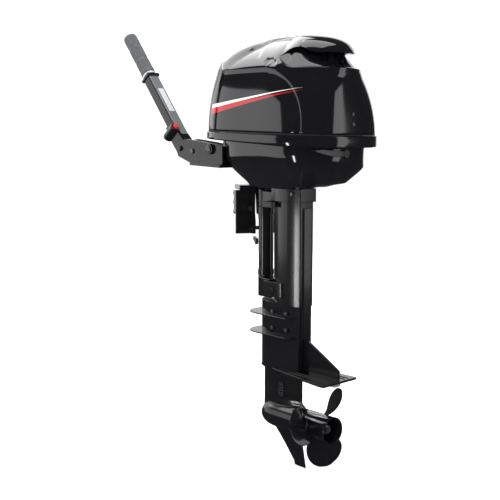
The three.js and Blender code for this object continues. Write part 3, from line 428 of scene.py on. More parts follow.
def hoodRule(u, v):
    px, py = hoodOval(u)
    kind, share = hoodRings[round(v * (len(hoodRings) - 1))]
    opening = mouthOpen(px)
    lip = mix(hood["mouthEnd"], hood["lip"], opening)
    roof = mix(hood["mouthEnd"], hood["roof"], opening) - hood["droop"] * smooth(0.78, 1.0, px)
    foot = rimTop(rimCentre + px * rimReach) + hood["seat"]
    inward = Vector((-px * abs(px) ** 1.5, -py * abs(py) ** 1.5, 0)).normalized()
    depth = hood["recessDepth"] * min(1.0, opening * 1.4)
    if kind == "wall":
        spot = hoodSurface(px, py, mix(foot, lip, share))
        spot -= inward * hood["roll"] * opening * smooth(0.86, 0.97, share)
    elif kind == "ledge":
        spot = hoodSurface(px, py, lip) + inward * depth * hood["shelf"] * share
        spot.z += hood["roll"] * opening * smooth(0, 0.3, share)
    elif kind == "core":
        spot = hoodSurface(px, py, lip) + inward * depth * mix(hood["shelf"], 1.0, share)
        spot.z = mix(lip, roof, share) + hood["roll"] * opening * (1 - share)
    elif kind == "roof":
        spot = hoodSurface(px, py, roof) + inward * depth * share
        spot.z = roof - 1.5 * opening * smooth(0, 0.1, share)
    else:
        # even steps round the shoulder and over the top
        startHeight = (roof - hood["shoulder"]) / (hood["top"] - hood["shoulder"])
        angle = mix(math.asin(startHeight), math.pi / 2, share)
        spot = hoodSurface(px, py, mix(hood["shoulder"], hood["top"], math.sin(angle)))
    if kind in ("wall", "dome") and abs(py) > 0.2:
        spot += inward * eyelet["depth"] * eyeletMask(spot.x, spot.z)
    if kind == "dome":
        crease = mix(crest["x0"], crest["x1"], (abs(spot.y) - crest["y0"]) / (crest["y1"] - crest["y0"]))
        rise = smooth(300, 312, spot.z)
        spot.z -= crest["step"] * rise * smooth(crest["soft"], -crest["soft"], spot.x - crease)
    if abs(py) > 0.6 and kind in ("wall", "dome"):
        sunk = hood["panelDepth"] * panelMask(spot.x, spot.z) * smooth(0.6, 0.9, abs(py))
        spot.y -= math.copysign(sunk, spot.y)
    return spot


bm = bmesh.new()
addSheet(bm, hood["around"], len(hoodRings) - 1, hoodRule, fill=False)
newPiece(
    "hood_shell", bm, "hood", "hoodPaint", motorPlace, ("hood",),
    sharp=40, wall=hood["wall"])
print("hood made")

seal = {"low": 0.2, "high": 2.7, "outer": 0.4, "inner": 6.5}
sealCorners = (("outer", "low"), ("outer", "high"), ("inner", "high"), ("inner", "low"), ("outer", "low"))


def sealRule(u, v):
    px, py = hoodOval(u)
    side, level = sealCorners[round(v * 4)]
    reachX = rimReach - hood["inset"] - seal[side]
    reachY = rim["half"] - hood["inset"] - seal[side]
    x = rimCentre + px * reachX
    return Vector((x, py * reachY, rimTop(x) + seal[level]))


bm = bmesh.new()
addSheet(bm, 240, 4, sealRule, fill=False)
newPiece("hood_seal", bm, "motor", "rubber", motorPlace, ("cowl_seal",), sharp=30)

tray = {
    "front": -81, "aft": 262, "half": 115, "knuckle": 82, "floor": 12.8, "wall": 3.2, "power": 3.6,
    "neck": {"front": -18, "aft": 238, "half": 66},
    "way": {"front": 56.4, "aft": 143.6, "half": 35.6},
    "aftKnuckle": 62, "aftFloor": 27, "around": 220,
}


def outlineAt(front, aft, half):
    return {"front": front, "aft": aft, "half": half}


def between(first, last, share):
    return {key: mix(first[key], last[key], share) for key in first}


def inset(outline, amount):
    return outlineAt(outline["front"] + amount, outline["aft"] - amount, outline["half"] - amount)


rimLine = outlineAt(rim["front"], rim["aft"], rim["half"])
trayLine = outlineAt(tray["front"], tray["aft"], tray["half"])
neckLine = tray["neck"]
# Each level is an outline and a height, from the inside of the rim down the outside and back up within.
cowlLevels = [
    (inset(rimLine, 7), lambda x: rimTop(x) - 0.2),
    (inset(rimLine, 2), lambda x: rimTop(x)),
    (inset(rimLine, 0.6), lambda x: rimTop(x) - 0.8),
    (rimLine, lambda x: rimTop(x) - 2.4),
    (rimLine, lambda x: rimBottom(x) + 3),
    (inset(rimLine, 0.8), lambda x: rimBottom(x) + 1),
    (inset(rimLine, 3), lambda x: rimBottom(x)),
    (inset(trayLine, -3), lambda x: rimBottom(x) - 0.6),
    (inset(trayLine, -0.6), lambda x: rimBottom(x) - 2.4),
    (trayLine, lambda x: mix(rimBottom(x), tray["knuckle"], 0.5)),
    (inset(trayLine, 0.5), lambda x: tray["knuckle"] + 4),
    (inset(trayLine, 3), lambda x: tray["knuckle"] - 3),
]
slopeSteps = (0.14, 0.3, 0.46, 0.62, 0.78, 0.9)
for share in slopeSteps:
    cowlLevels.append((
        between(inset(trayLine, 3), neckLine, share ** 1.15),
        lambda x, share=share: mix(tray["knuckle"] - 3, tray["floor"] + 5, share)))
cowlLevels += [
    (neckLine, lambda x: tray["floor"] + 4),
    (inset(neckLine, 4), lambda x: tray["floor"]),
    (tray["way"], lambda x: tray["floor"]),
    (tray["way"], lambda x: tray["floor"] + tray["wall"]),
    (inset(neckLine, 7), lambda x: tray["floor"] + tray["wall"]),
]
for share in reversed(slopeSteps):
    cowlLevels.append((
        between(inset(trayLine, 6), inset(neckLine, 4), share ** 1.15),
        lambda x, share=share: mix(tray["knuckle"] - 2, tray["floor"] + 8, share)))
cowlLevels += [
    (inset(trayLine, 4), lambda x: tray["knuckle"] + 2),
    (inset(trayLine, 3.4), lambda x: rimBottom(x) + 2),
    (inset(trayLine, 3.4), lambda x: rimTop(x) - 0.6),
]
cowlLevels.append(cowlLevels[0])
cowlOval = evenOval(tray["power"], rimReach, rim["half"])


def cowlRule(u, v):
    px, py = cowlOval(u)
    outline, height = cowlLevels[round(v * (len(cowlLevels) - 1))]
    middle = (outline["front"] + outline["aft"]) / 2
    x = middle + px * (outline["aft"] - outline["front"]) / 2
    y = py * outline["half"]
    if outline["half"] < tray["half"] - 4 and outline is not tray["way"]:
        depth = clamp01((tray["half"] - outline["half"]) / (tray["half"] - neckLine["half"]))
        y *= 1 - 0.06 * depth * clamp01(px)
    z = height(rimCentre + px * rimReach if height(0) > tray["knuckle"] else x)
    if z < tray["knuckle"] + 6 and outline is not tray["way"]:
        # the aft part of the tray is a deeper, flatter box
        share = (z - tray["floor"]) / (tray["knuckle"] - tray["floor"])
        z = mix(z, mix(tray["aftFloor"], tray["aftKnuckle"], share), smooth(0.15, 0.85, px))
    return Vector((x, y, z))


bm = bmesh.new()
addSheet(bm, tray["around"], len(cowlLevels) - 1, cowlRule, fill=False)
newPiece("lower_cowl_tray", bm, "motor", "gloss_black", motorPlace, ("lower_cowl",), sharp=38)
print("lower cowl made")

leg = {
    "front": 52, "aft": 142, "half": 34, "nose": 22, "aftHalf": 22, "shoulder": 48, "top": 76,
    "collarTop": 12.5, "collarBottom": -20, "collar": 4.8,
    "blockTop": -266, "blockFront": -5, "bottom": -350,
    "plates": (-302, -350), "plateThick": 4, "plateFront": -34, "plateAft": 124, "plateHalf": 46,
    "plateTip": 44, "boltRows": (-290, -330), "collarBoltX": 126,
}
legBolts = ({"x": 104, "face": 31}, {"x": 60, "face": 34.5})


def legOutline(grow=0.0):
    front, aft = leg["front"] - grow, leg["aft"] + grow
    half, aftHalf, nose = leg["half"] + grow, leg["aftHalf"] + grow, leg["nose"] + grow
    shoulder = leg["front"] + leg["shoulder"]
    flankX, flank = mix(front, shoulder, 0.5), mix(nose, half, 0.75)
    side = [(front, nose), (flankX, flank), (shoulder, half), (aft - 12, aftHalf + 3), (aft, aftHalf)]
    return side + [(x, -y) for x, y in reversed(side)]


def foilOutline(front, aft, half, tail, count=18):
    side = []
    for step in range(count + 1):
        share = 1 - math.cos(step / count * math.pi / 2)
        nose = math.sqrt(math.sin(math.pi * min(share * 1.25, 0.5)))
        taper = mix(half, tail, clamp01((share - 0.4) / 0.6))
        side.append((mix(front, aft, share), min(half * nose, taper)))
    return side[1:] + [(x, -y) for x, y in reversed(side[1:])] + [(front, 0)]


def splashPlate():
    side = []
    for step in range(8, -1, -1):
        angle = step / 8 * math.pi / 2
        x = leg["plateFront"] + leg["plateTip"] * (1 - math.sin(angle))
        side.append((x, leg["plateHalf"] * (0.2 + 0.8 * math.cos(angle))))
    side += [(leg["plateAft"] - 8, leg["plateHalf"]), (leg["plateAft"], leg["plateHalf"] - 8)]
    return side + [(x, -y) for x, y in reversed(side)]


bm = bmesh.new()
addPrism(bm, legOutline(), leg["blockTop"] - 6, leg["top"])
addPrism(bm, legOutline(leg["collar"]), leg["collarBottom"], leg["collarTop"])
block = foilOutline(leg["blockFront"], leg["aft"] - 3, leg["half"], leg["aftHalf"])
addPrism(bm, block, leg["bottom"], leg["blockTop"])
for z in leg["plates"]:
    addPrism(bm, splashPlate(), z, z + leg["plateThick"])
# raised strip down the aft face
addPrism(bm, [(138, -15), (145.5, -12), (146, 12), (138, 15)], leg["bottom"] + 2, -34)
newPiece(
    "leg_housing", bm, "motor", "satin_black", motorPlace, ("drive_shaft_housing",), bevel=0.0015, sharp=30)

bm = bmesh.new()
for side in (-1, 1):
    for z in leg["boltRows"]:
        for bolt in legBolts:
            inner, outer = side * (bolt["face"] - 3), side * (bolt["face"] + 2.2)
            addRod(bm, (bolt["x"], inner, z), (bolt["x"], outer, z), 5, sides=6)
    addRod(bm, (leg["collarBoltX"], side * 24, 0), (leg["collarBoltX"], side * 37, 0), 4.5, sides=6)
newPiece("leg_bolts", bm, "motor", "dark_steel", motorPlace, bevel=0.0005)
print("leg made")

case = {
    "top": -350.3, "plateZ": -438, "plateThick": 6, "plateAft": 258, "strutFront": -3, "strutAft": 134,
    "strutHalf": 17, "torpedoZ": -558, "torpedoRadius": 32.5, "torpedoAft": 148, "skegTip": -674,
    "fillet": 5, "across": 34, "down": 60,
}


# The torpedo's radius at x, from its rounded nose to its full size.
def torpedoReach(x):
    nose = clamp01((x + 4) / 52)
    return case["torpedoRadius"] * math.sqrt(clamp01(1 - (1 - nose) ** 2.2))


def caseFront(z):
    if z > case["torpedoZ"] + 60:
        return mix(case["strutFront"] - 1, case["strutFront"], clamp01((z - case["torpedoZ"]) / 120))
    if z > case["torpedoZ"] - 12:
        return mix(-4, case["strutFront"], smooth(0, 60, abs(z - case["torpedoZ"])))
    return mix(4, 106, clamp01((case["torpedoZ"] - 12 - z) / 97) ** 0.8)


def caseAft(z):
    torpedo = smooth(48, 34, abs(z - case["torpedoZ"]))
    if z > case["torpedoZ"]:
        return mix(case["strutAft"], case["torpedoAft"], torpedo)
    drop = clamp01((case["torpedoZ"] - 34 - z) / 82)
    return mix(mix(132, 146, drop), case["torpedoAft"], torpedo)


# Half the thickness of the strut, torpedo and skeg at x and z.
def caseHalf(x, z, front, aft):
    share = clamp01((x - front) / (aft - front))
    foil = math.sqrt(math.sin(math.pi * min(share * 1.1, 0.5)))
    above = z > case["torpedoZ"]
    base = case["strutHalf"] if above else mix(7.5, 3.4, clamp01((case["torpedoZ"] - 30 - z) / 86))
    strut = min(base * foil, mix(base, 2.4, clamp01((share - 0.45) / 0.55) ** 1.3))
    reach = torpedoReach(x)
    across = reach * reach - (z - case["torpedoZ"]) ** 2
    body = math.sqrt(across) if across > 0 else 0
    closeness = clamp01(0.5 + (body - strut) / (4 * case["fillet"]))
    fillet = case["fillet"] * closeness * (1 - closeness) if body > 0 else 0
    return mix(strut, body, closeness) + fillet


def caseRule(u, v):
    z = mix(case["plateZ"] + 1, case["skegTip"], v)
    front, aft = caseFront(z), caseAft(z)
    side = 1 if u < 0.5 else -1
    share = u * 2 if u < 0.5 else (1 - u) * 2
    x = mix(front, aft, 1 - math.cos(share * math.pi / 2) if share < 0.999 else 1.0)
    return Vector((x, side * caseHalf(x, z, front, aft), z))


def plateEdge(x):
    stations = ((-10, 0), (0, 15), (20, 24), (76, 37), (135, 46), (187, 52), (240, 58.5), (256, 57))
    for (x0, y0), (x1, y1) in zip(stations, stations[1:]):
        if x <= x1:
            return mix(y0, y1, (x - x0) / (x1 - x0))
    return stations[-1][1]


bm = bmesh.new()
addPrism(bm, foilOutline(case["strutFront"] - 2, 139, 34, 22), case["plateZ"] + 2, case["top"])
sideLine = [(x, plateEdge(x)) for x in (-8, -4, 0, 8, 20, 46, 76, 105, 135, 160, 187, 212, 240, 250, 256)]
plate = sideLine + [(x, -y) for x, y in reversed(sideLine)]
addPrism(bm, plate, case["plateZ"], case["plateZ"] + case["plateThick"])
fin = [(128, -440), (252, -440), (252, -408), (150, -352), (128, -352)]
addPrism(bm, fin, -3, 3, "Y")
for y in (-34, -22, 22, 34):
    addPrism(bm, [(120, y - 1), (250, y - 1), (250, y + 1), (120, y + 1)], -433, -430.5)
newPiece("gearcase_upper", bm, "motor", "satin_black", motorPlace, ("gearcase",), bevel=0.0012, sharp=30)

bm = bmesh.new()
addSheet(bm, case["across"] * 2, case["down"], caseRule)
newPiece("gearcase_lower", bm, "motor", "satin_black", motorPlace, sharp=50)

grille = {
    "x": 74, "z": -486, "wide": 16, "high": 34, "inner": 12, "outer": 17.6, "edge": 2,
    "bars": 5, "barHalf": 1.3,
}
x0, x1 = grille["x"] - grille["wide"] / 2, grille["x"] + grille["wide"] / 2
z0, z1 = grille["z"] - grille["high"] / 2, grille["z"] + grille["high"] / 2
edge = grille["edge"]
for side, name in ((1, "starboard"), (-1, "port")):
    bm = bmesh.new()
    inner, outer = sorted((side * grille["inner"], side * grille["outer"]))
    uprights = [(x0, z0, x0 + edge, z1), (x1 - edge, z0, x1, z1)]
    rails = [(x0, z0, x1, z0 + edge), (x0, z1 - edge, x1, z1)]
    for lowX, lowZ, highX, highZ in uprights + rails:
        addBox(bm, (lowX, inner, lowZ), (highX, outer, highZ))
    for bar in range(1, grille["bars"]):
        z = mix(z0, z1, bar / grille["bars"])
        face = outer - 0.4 if side > 0 else outer
        addBox(bm, (x0, inner, z - grille["barHalf"]), (x1, face, z + grille["barHalf"]))
    newPiece(
        name + "_intake_grille", bm, "motor", "dark_steel", motorPlace, (name + "_intake_screen",))
print("gearcase made")

prop = {
    "radius": 107, "pitch": 216, "hub": 33, "front": 151.5, "aft": 234, "core": 16, "bore": 8.3,
    "blades": 3, "bladeRoot": 184, "turn": 43, "halfAngle": 40, "rake": 10,
    "rootThick": 6.0, "tipThick": 2.2, "ribTurn": 0.5,
}


def bladeRule(turn):
    def rule(u, share):
        radius = mix(prop["hub"] - 2.5, prop["radius"], share)
        fullness = math.sqrt(max(0.004, 1 - abs((share - 0.42) / 0.585) ** 2.1))
        across = 0.5 * math.cos(math.tau * u)
        through = 0.5 * math.sin(math.tau * u)
        angle = math.radians(prop["halfAngle"]) * 2 * across * fullness * (1 - 0.25 * share)
        thick = mix(prop["rootThick"], prop["tipThick"], share)
        x = prop["bladeRoot"] - angle / math.tau * prop["pitch"] + through * thick + share * prop["rake"]
        swept = angle + math.radians(turn)
        return Vector((x, radius * math.sin(swept), case["torpedoZ"] + radius * math.cos(swept)))
    return rule


bm = bmesh.new()
hubCentre = (0, 0, case["torpedoZ"])
addTurned(bm, [
    (30, prop["front"]), (32, prop["front"]), (33, prop["front"] + 2), (33, prop["aft"] - 12),
    (34, prop["aft"] - 1), (33.6, prop["aft"]), (31.4, prop["aft"]), (30.6, prop["aft"] - 1.4),
    (30, prop["aft"] - 14), (30, prop["front"])], hubCentre, (1, 0, 0))
core, bore = prop["core"], prop["bore"]
addTurned(bm, [(bore, 155), (core, 155), (core, 202), (bore, 202), (bore, 155)], hubCentre, (1, 0, 0), 48)
for blade in range(prop["blades"]):
    turn = prop["turn"] + blade * 360 / prop["blades"]
    addSheet(bm, 48, 26, bladeRule(turn), fill=False)
    rib = addBox(bm, (160, -2.4, 14), (198, 2.4, 31.5))
    ribTurn = Matrix.Rotation(-math.radians(turn) - prop["ribTurn"], 3, "X")
    bmesh.ops.rotate(bm, verts=rib, cent=(0, 0, 0), matrix=ribTurn)
    bmesh.ops.translate(bm, verts=rib, vec=(0, 0, case["torpedoZ"]))
newPiece("propeller_blades", bm, "propeller_line", "prop_black", motorPlace, ("propeller",), sharp=40)
print("propeller made")

mount = {
    "upper": (-38, 4), "lower": (-262, -210), "boss": 19.5, "upperHalf": 20, "lowerHalf": 30, "aft": 46,
    "boltX": 66, "boltZ": -236,
}


def mountBracket(bm, low, high, half):
    addRod(bm, (0, 0, low), (0, 0, high), mount["boss"], sides=48)
    side = [(-6, -18), (16, -half + 2), (24, -half), (mount["aft"], -half)]
    addPrism(bm, side + [(x, -y) for x, y in reversed(side)], low + 3, high - 3)


bm = bmesh.new()
mountBracket(bm, *mount["upper"], mount["upperHalf"])
for side in (-1, 1):
    cheek = [(30, 18), (34, 44), (70, 44), (76, 42), (76, 39.4), (44, 39.4)]
    addPrism(bm, [(x, side * y) for x, y in cheek], -36, -21)
newPiece("upper_mount", bm, "motor", "satin_black", motorPlace, ("upper_mount_bracket",), bevel=0.0015)
bm = bmesh.new()
low, high = mount["lower"]
boltX, boltZ = mount["boltX"], mount["boltZ"]
mountBracket(bm, low, high, mount["lowerHalf"])
for side in (-1, 1):
    cheek = [(34, 24), (34, 40), (92, 40), (98, 37), (98, 34.4), (46, 34.4)]
    addPrism(bm, [(x, side * y) for x, y in cheek], low + 10, high - 6)
    addRod(bm, (boltX, side * 39, boltZ), (boltX, side * 43, boltZ), 7, sides=6)
newPiece("lower_mount", bm, "motor", "satin_black", motorPlace, ("lower_mount_bracket",), bevel=0.0015)

swivel = {
    "x": 62, "top": -42, "bottom": -206, "radius": 18.5, "collar": 1.6,
    "pivot": (-12, 26), "pivotRadius": 13, "half": 14.5, "webHalf": 9,
}
bm = bmesh.new()
tubeX, top, bottom = swivel["x"], swivel["top"], swivel["bottom"]
pivotX, pivotZ = swivel["pivot"]
collarRadius = swivel["radius"] + swivel["collar"]
addRod(bm, (tubeX, 0, bottom), (tubeX, 0, top), swivel["radius"], sides=64)
addRod(bm, (tubeX, 0, top - 14), (tubeX, 0, top + 3), collarRadius, sides=64)
addRod(bm, (tubeX, 0, bottom - 3), (tubeX, 0, bottom + 12), collarRadius, sides=64)
pivotEnds = [(pivotX, side * swivel["half"], pivotZ) for side in (-1, 1)]
addRod(bm, *pivotEnds, swivel["pivotRadius"], sides=48)
web = [
    (-18, 32), (-16, 10), (2, -2), (2, -60), (17, -78), (17, -112), (46, -178), (tubeX, -182),
    (tubeX, top), (12, top), (12, 2), (-4, 34),
]
addPrism(bm, web, -swivel["webHalf"], swivel["webHalf"], "Y")
arm = [(-16, 28), (-16, 8), (2, -4), (30, top - 2), (tubeX, top - 2), (tubeX, -60), (14, -60), (2, -4)]
addPrism(bm, arm, -swivel["half"], swivel["half"], "Y")
newPiece("swivel_casting", bm, "swivel", "satin_black", clampPlace, ("swivel_bracket",), bevel=0.0012)
print("mounts and swivel made")

clamp = {
    "inner": 16, "outer": 66, "plateAft": 8, "sideThick": 9, "drop": -111, "hook": 12, "hookHalf": 56,
    "gap": -58, "arm": -75, "screwY": 41, "screwZ": -40, "boss": 13,
}
screw = {
    "from": -126, "to": -54, "radius": 7,
    "crests": 14, "crestFrom": -110, "crestStep": 3.2, "crestThick": 1.6, "crestRadius": 7.6,
    "handleX": -121, "handleRadius": 4.6, "handleHalf": 24, "knob": 7.6, "knobOut": 25,
}
sideProfile = [
    (-26, 26), (-32, 12), (-56, 12), (-75, -5), (-75, -64), (-58, -64), (-58, 0), (0, 0), (0, clamp["drop"]),
    (16, clamp["drop"]), (19, -82), (11, -60), (10, 0), (2, 22), (2, 30), (-5, 38), (-16, 39), (-24, 34),
]
for side, name in ((1, "starboard"), (-1, "port")):
    screwY, screwZ = side * clamp["screwY"], clamp["screwZ"]
    bm = bmesh.new()
    y0, y1 = sorted((side * clamp["inner"], side * (clamp["inner"] + clamp["sideThick"])))
    addPrism(bm, sideProfile, y0, y1, "Y")
    y0, y1 = sorted((side * clamp["inner"], side * clamp["outer"]))
    addBox(bm, (0, y0, clamp["drop"]), (clamp["plateAft"], y1, -0.05))
    for ribZ in (-30, -62, -94):
        addBox(bm, (clamp["plateAft"] - 1, y0 + 2, ribZ - 2), (clamp["plateAft"] + 3, y1 - 4, ribZ + 2))
    y0, y1 = sorted((side * clamp["inner"], side * clamp["hookHalf"]))
    addBox(bm, (clamp["gap"], y0, 0), (clamp["plateAft"], y1, clamp["hook"]))
    addBox(bm, (clamp["arm"], y0, -64), (clamp["gap"], y1, -5))
    addRod(bm, (clamp["arm"] - 5, screwY, screwZ), (clamp["gap"], screwY, screwZ), clamp["boss"], sides=40)
    newPiece(
        name + "_clamp_casting", bm, "clamp", "satin_black", clampPlace, (name + "_clamp_bracket",),
        bevel=0.0014)
    bm = bmesh.new()
    addRod(bm, (screw["from"], screwY, screwZ), (screw["to"], screwY, screwZ), screw["radius"])
    for crest in range(screw["crests"]):
        x = screw["crestFrom"] + crest * screw["crestStep"]
        crestEnd = (x + screw["crestThick"], screwY, screwZ)
        addRod(bm, (x, screwY, screwZ), crestEnd, screw["crestRadius"], sides=24)
    handleX, half = screw["handleX"], screw["handleHalf"]
    handleEnds = [(handleX, screwY, screwZ - half), (handleX, screwY, screwZ + half)]
    addRod(bm, *handleEnds, screw["handleRadius"], sides=20)
    for out in (-screw["knobOut"], screw["knobOut"]):
        knobPlace = Matrix.Translation((handleX, screwY, screwZ + out))
        bmesh.ops.create_uvsphere(bm, u_segments=24, v_segments=14, radius=screw["knob"], matrix=knobPlace)
    newPiece(name + "_screw_handle", bm, name + "_screw", "dark_steel", clampPlace, (name + "_clamp_screw",))

stud = {"y": -31, "z": -46, "radius": 3, "coils": 6, "coilStep": 2.3}
bm = bmesh.new()
addRod(bm, (8, stud["y"], stud["z"]), (27, stud["y"], stud["z"]), stud["radius"], sides=24)
for coil in range(stud["coils"]):
    centre = (10 + coil * stud["coilStep"], stud["y"], stud["z"])
    addTurned(bm, [(3.4, 0), (5.4, 0), (5.4, 1.3), (3.4, 1.3)], centre, (1, 0, 0), 24)
addRod(bm, (24, stud["y"], stud["z"]), (29, stud["y"], stud["z"]), 5.5, sides=6)
newPiece("clamp_stud", bm, "clamp", "bright_steel", clampPlace)
print("clamps made")

latch = {"x": 265, "y": -5, "z": 96}
bm = bmesh.new()
addRod(bm, (250, latch["y"], latch["z"]), (270, latch["y"], latch["z"]), 4, sides=24)
addRod(bm, (264, latch["y"], latch["z"]), (271, latch["y"], latch["z"]), 9.5, sides=40)
arm = [(-5, 103), (-45, 104), (-83, 107), (-103, 105.5), (-104, 102), (-85, 97), (-45, 90), (-5, 89)]
addPrism(bm, arm, 265, 270, "X")
newPiece("cowl_latch_lever", bm, "latch", "satin_black", motorPlace, ("cowl_latch",), bevel=0.001)

hoodScrew = {"x": 273.5, "y": 10, "heights": (184, 162), "lean": 0.1}
screwHead = [(0, 0), (4.2, 0), (4.6, 1.2), (3.4, 2.2), (0, 2.4)]
bm = bmesh.new()
for z in hoodScrew["heights"]:
    x = hoodScrew["x"] + (hoodScrew["heights"][0] - z) * hoodScrew["lean"]
    addTurned(bm, screwHead, (x, hoodScrew["y"], z), (1, 0, 0), 24)
newPiece("hood_screws", bm, "hood", "dark_steel", motorPlace)

tiller = {
    "length": 236, "width": 16, "depth": 14, "side": -95, "barrel": 22, "boss": 13, "button": (-56, -19),
    "labelFrom": -190, "labelTo": -112, "cheekIn": 16.4, "cheekOut": 21, "boltX": -74, "boltZ": 104,
}
armPoint = tiller["side"]
bracketOutline = [
    (-213, 98), (-205, 84), (-150, 66), (-40, 62), (-30, 70), (-30, 112),
    (-110, 122), (-170, 128), (-205, 124),
]
bm = bmesh.new()
cheekIn, cheekOut = tiller["cheekIn"], tiller["cheekOut"]
boltX, boltZ = tiller["boltX"], tiller["boltZ"]
boltFace = (boltX, armPoint - 28, boltZ)
for low, high in ((cheekIn, cheekOut), (-cheekOut, -cheekIn)):
    addPrism(bm, bracketOutline, armPoint + low, armPoint + high, "Y")
beam = [(-170, 76), (-40, 68), (-40, 110), (-110, 118), (-170, 122)]
addPrism(bm, beam, armPoint - 19, armPoint + 19, "Y")
flange = [(-152, 63), (-34, 59), (-34, 66), (-152, 70)]
addPrism(bm, flange, armPoint - 26, armPoint + 24, "Y")
addRod(bm, (boltX, armPoint - 20, boltZ), boltFace, 13, sides=40)
newPiece("tiller_bracket_casting", bm, "motor", "satin_black", motorPlace, ("tiller_bracket",), bevel=0.0012)
bm = bmesh.new()
addTurned(bm, [(0, 0), (8.5, 0), (8.5, 2), (5, 3), (4.5, 2), (0, 2)], boltFace, (0, -1, 0), 32)
addRod(bm, (-146, armPoint - 21, 98), (-146, armPoint - 25, 98), 6.5, sides=6)
newPiece("tiller_bracket_bolts", bm, "motor", "dark_steel", motorPlace, bevel=0.0004)

bm = bmesh.new()
buttonX, buttonY = tiller["button"]
addRod(bm, (0, -tiller["width"], 0), (0, tiller["width"], 0), tiller["barrel"], sides=64)
addRod(bm, (0, -26, 0), (0, 26, 0), 7, sides=32)
addPrism(bm, [(-82, -17), (-76, 9), (-4, 19), (-4, -21), (-50, -22)], -19, 15.8, "Y")
# The boss is hollow at the top, where the stop button goes down
boss = [(0, -27), (tiller["boss"], -27), (tiller["boss"], 18), (7.8, 18), (7.8, 13.2), (0, 13.2)]
addTurned(bm, boss, (buttonX, buttonY, 0), (0, 0, 1), 48)
newPiece("tiller_elbow", bm, "tiller", "satin_black", tillerPlace, bevel=0.003)
# The arm is one grey aluminium piece. The black on the bar's sides is painted shade, and only the top plate keeps
# the arm's grey.
bm = bmesh.new()
barLow = (-tiller["length"], -tiller["width"], -tiller["depth"])
addBox(bm, barLow, (-66, tiller["width"], tiller["depth"] - 1.5))
newPiece("tiller_bar", bm, "tiller", "satin_black", tillerPlace, ("tiller_arm",), bevel=0.003)
bm = bmesh.new()
plateEnd = -tiller["length"] + 1
top = [(plateEnd, -14), (-76, -14), (-22, -3), (-14, 6), (-24, 14), (plateEnd, 14)]
addPrism(bm, top, tiller["depth"] - 2, tiller["depth"] + 0.6)
newPiece("tiller_top_plate", bm, "tiller", "armGrey", tillerPlace, bevel=0.0012)
bm = bmesh.new()
labelZ = tiller["depth"]
addBox(bm, (tiller["labelFrom"], -8, labelZ), (tiller["labelTo"], 9, labelZ + 0.9))
newPiece("tiller_label", bm, "tiller", "labelGrey", tillerPlace, bevel=0.0003)
bm = bmesh.new()
addBox(bm, (-243, -19, -18), (-235, 19, 18))
newPiece("tiller_collar", bm, "tiller", "satin_black", tillerPlace, bevel=0.002)
bm = bmesh.new()
addRod(bm, (-244.6, 0, 0), (-251, 0, 0), 17.5, sides=48)
newPiece("throttle_ring", bm, "throttle", "labelGrey", tillerPlace, bevel=0.001)

grip = {
    "base": -252, "end": -387, "radius": 17.4, "flare": 1.3,
    "ribs": 26, "ribHeight": 1.0, "bands": (-300, -345),
}


def gripRule(u, v):
    angle = math.tau * u
    x = mix(grip["base"], grip["end"], v)
    radius = grip["radius"] + grip["flare"] * smooth(0.0, 0.06, 0.1 - v)
    band = min(abs(x - place) for place in grip["bands"])
    ribbed = smooth(2.5, 4.5, band) * smooth(0.04, 0.07, v) * smooth(0.98, 0.94, v)
    radius += grip["ribHeight"] * ribbed * (0.5 + 0.5 * math.cos(angle * grip["ribs"])) ** 0.7
    end = smooth(0.965, 1.0, v)
    radius *= math.sqrt(max(0.0, 1 - end * end * 0.45))
    return Vector((x, radius * math.cos(angle), radius * math.sin(angle)))


bm = bmesh.new()
addSheet(bm, grip["ribs"] * 10, 70, gripRule)
newPiece("throttle_grip_sleeve", bm, "throttle", "grey_rubber", tillerPlace, ("throttle_grip",), sharp=60)
bm = bmesh.new()
addTurned(bm, [(0, 0), (7, 0), (7, 4.6), (6, 5.8), (0, 6.4)], (buttonX, buttonY, 18.2), (0, 0, 1), 40)
newPiece("stop_button_cap", bm, "stop_button", "red", tillerPlace, ("stop_button",))
print("tiller made")

# The rest of the CAD pieces keep their shape and take a finish.
for name, node in frame["nodes"].items():
    node.data.materials.clear()
    node.data.materials.append(finishes[slots[name]])
print("finishes on the other pieces")

# Studio
studio = {
    "floorBelow": 0.012, "floorSize": 60, "floorColour": (0.93, 0.93, 0.93),
    "skyBright": 1.3, "skyDim": 0.12,
    "cameraSpot": (2.2363, -0.4990, 0.1431), "cameraAim": (-0.9703, 0.2045, -0.1292), "lens": 64.76,
}
floorSpot = (0, 0, cadLow.z - studio["floorBelow"])
bpy.ops.mesh.primitive_plane_add(size=studio["floorSize"], location=floorSpot)
floor = bpy.context.object
floor.name = "floor"
floor.data.materials.append(makeFinish("floorPaint", studio["floorColour"], 0.7, mottle=0.01, bump=0.0))
floor.visible_glossy = False
floor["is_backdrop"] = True


def addPanel(name, spot, target, size, power):
    light = bpy.data.lights.new(name, "AREA")
    light.shape = "RECTANGLE"
    light.size, light.size_y = size
    light.energy = power
    panel = bpy.data.objects.new(name, light)
    bpy.context.scene.collection.objects.link(panel)
    panel.location = spot
    panel.visible_camera = False
    panel.rotation_euler = (Vector(target) - Vector(spot)).to_track_quat("-Z", "Y").to_euler()


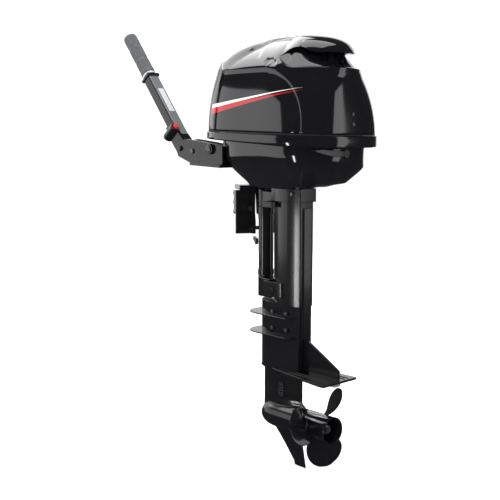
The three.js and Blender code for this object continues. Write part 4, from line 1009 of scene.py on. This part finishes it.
addPanel("domePanel", (-2.1, -1.1, 2.5), (0.1, -0.1, 0.35), (3.4, 2.4), 75)
addPanel("overhead", (0.3, -0.2, 2.8), (0.05, 0.0, 0.2), (2.8, 2.4), 60)
addPanel("forwardGlow", (-3.6, 0.9, 0.95), (0, 0, 0.3), (6.5, 3.2), 70)
addPanel("portPanel", (-1.0, -2.8, 0.25), (0, 0, 0.1), (2.4, 1.7), 15)
addPanel("forwardPort", (-2.0, -1.6, 0.6), (0, 0, 0), (0.9, 1.6), 7)
addPanel("legStrip", (0.8, -2.1, -0.5), (0.1, 0, -0.3), (0.16, 0.5), 4)
addPanel("starboardPanel", (1.1, 2.6, 0.2), (0, 0, 0), (0.5, 1.8), 4)

# The sky is bright to the camera and to soft light, and dim in reflections, so that the paint stays black.
world = bpy.data.worlds.new("studioWorld")
bpy.context.scene.world = world
world.use_nodes = True
tree = world.node_tree
background = tree.nodes["Background"]
background.inputs["Color"].default_value = (0.3, 0.31, 0.32, 1)
background.inputs["Strength"].default_value = studio["skyDim"]
bright = tree.nodes.new("ShaderNodeBackground")
bright.inputs["Color"].default_value = (1, 1, 1, 1)
bright.inputs["Strength"].default_value = studio["skyBright"]
path = tree.nodes.new("ShaderNodeLightPath")
seen = tree.nodes.new("ShaderNodeMath")
seen.operation = "MAXIMUM"
link(tree, path.outputs["Is Camera Ray"], seen.inputs[0])
link(tree, path.outputs["Is Diffuse Ray"], seen.inputs[1])
choose = tree.nodes.new("ShaderNodeMixShader")
link(tree, seen.outputs["Value"], choose.inputs["Fac"])
link(tree, background.outputs["Background"], choose.inputs[1])
link(tree, bright.outputs["Background"], choose.inputs[2])
link(tree, choose.outputs["Shader"], tree.nodes["World Output"].inputs["Surface"])

lens = bpy.data.cameras.new("camera")
lens.lens = studio["lens"]
lens.sensor_width = 36
camera = bpy.data.objects.new("camera", lens)
bpy.context.scene.collection.objects.link(camera)
camera.location = studio["cameraSpot"]
camera.rotation_euler = Vector(studio["cameraAim"]).to_track_quat("-Z", "Y").to_euler()
bpy.context.scene.camera = camera
bpy.context.scene.view_settings.view_transform = "Standard"
print("studio ready")

low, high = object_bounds()
{"cad": [list(cadLow), list(cadHigh)], "visual": [list(low), list(high)]}
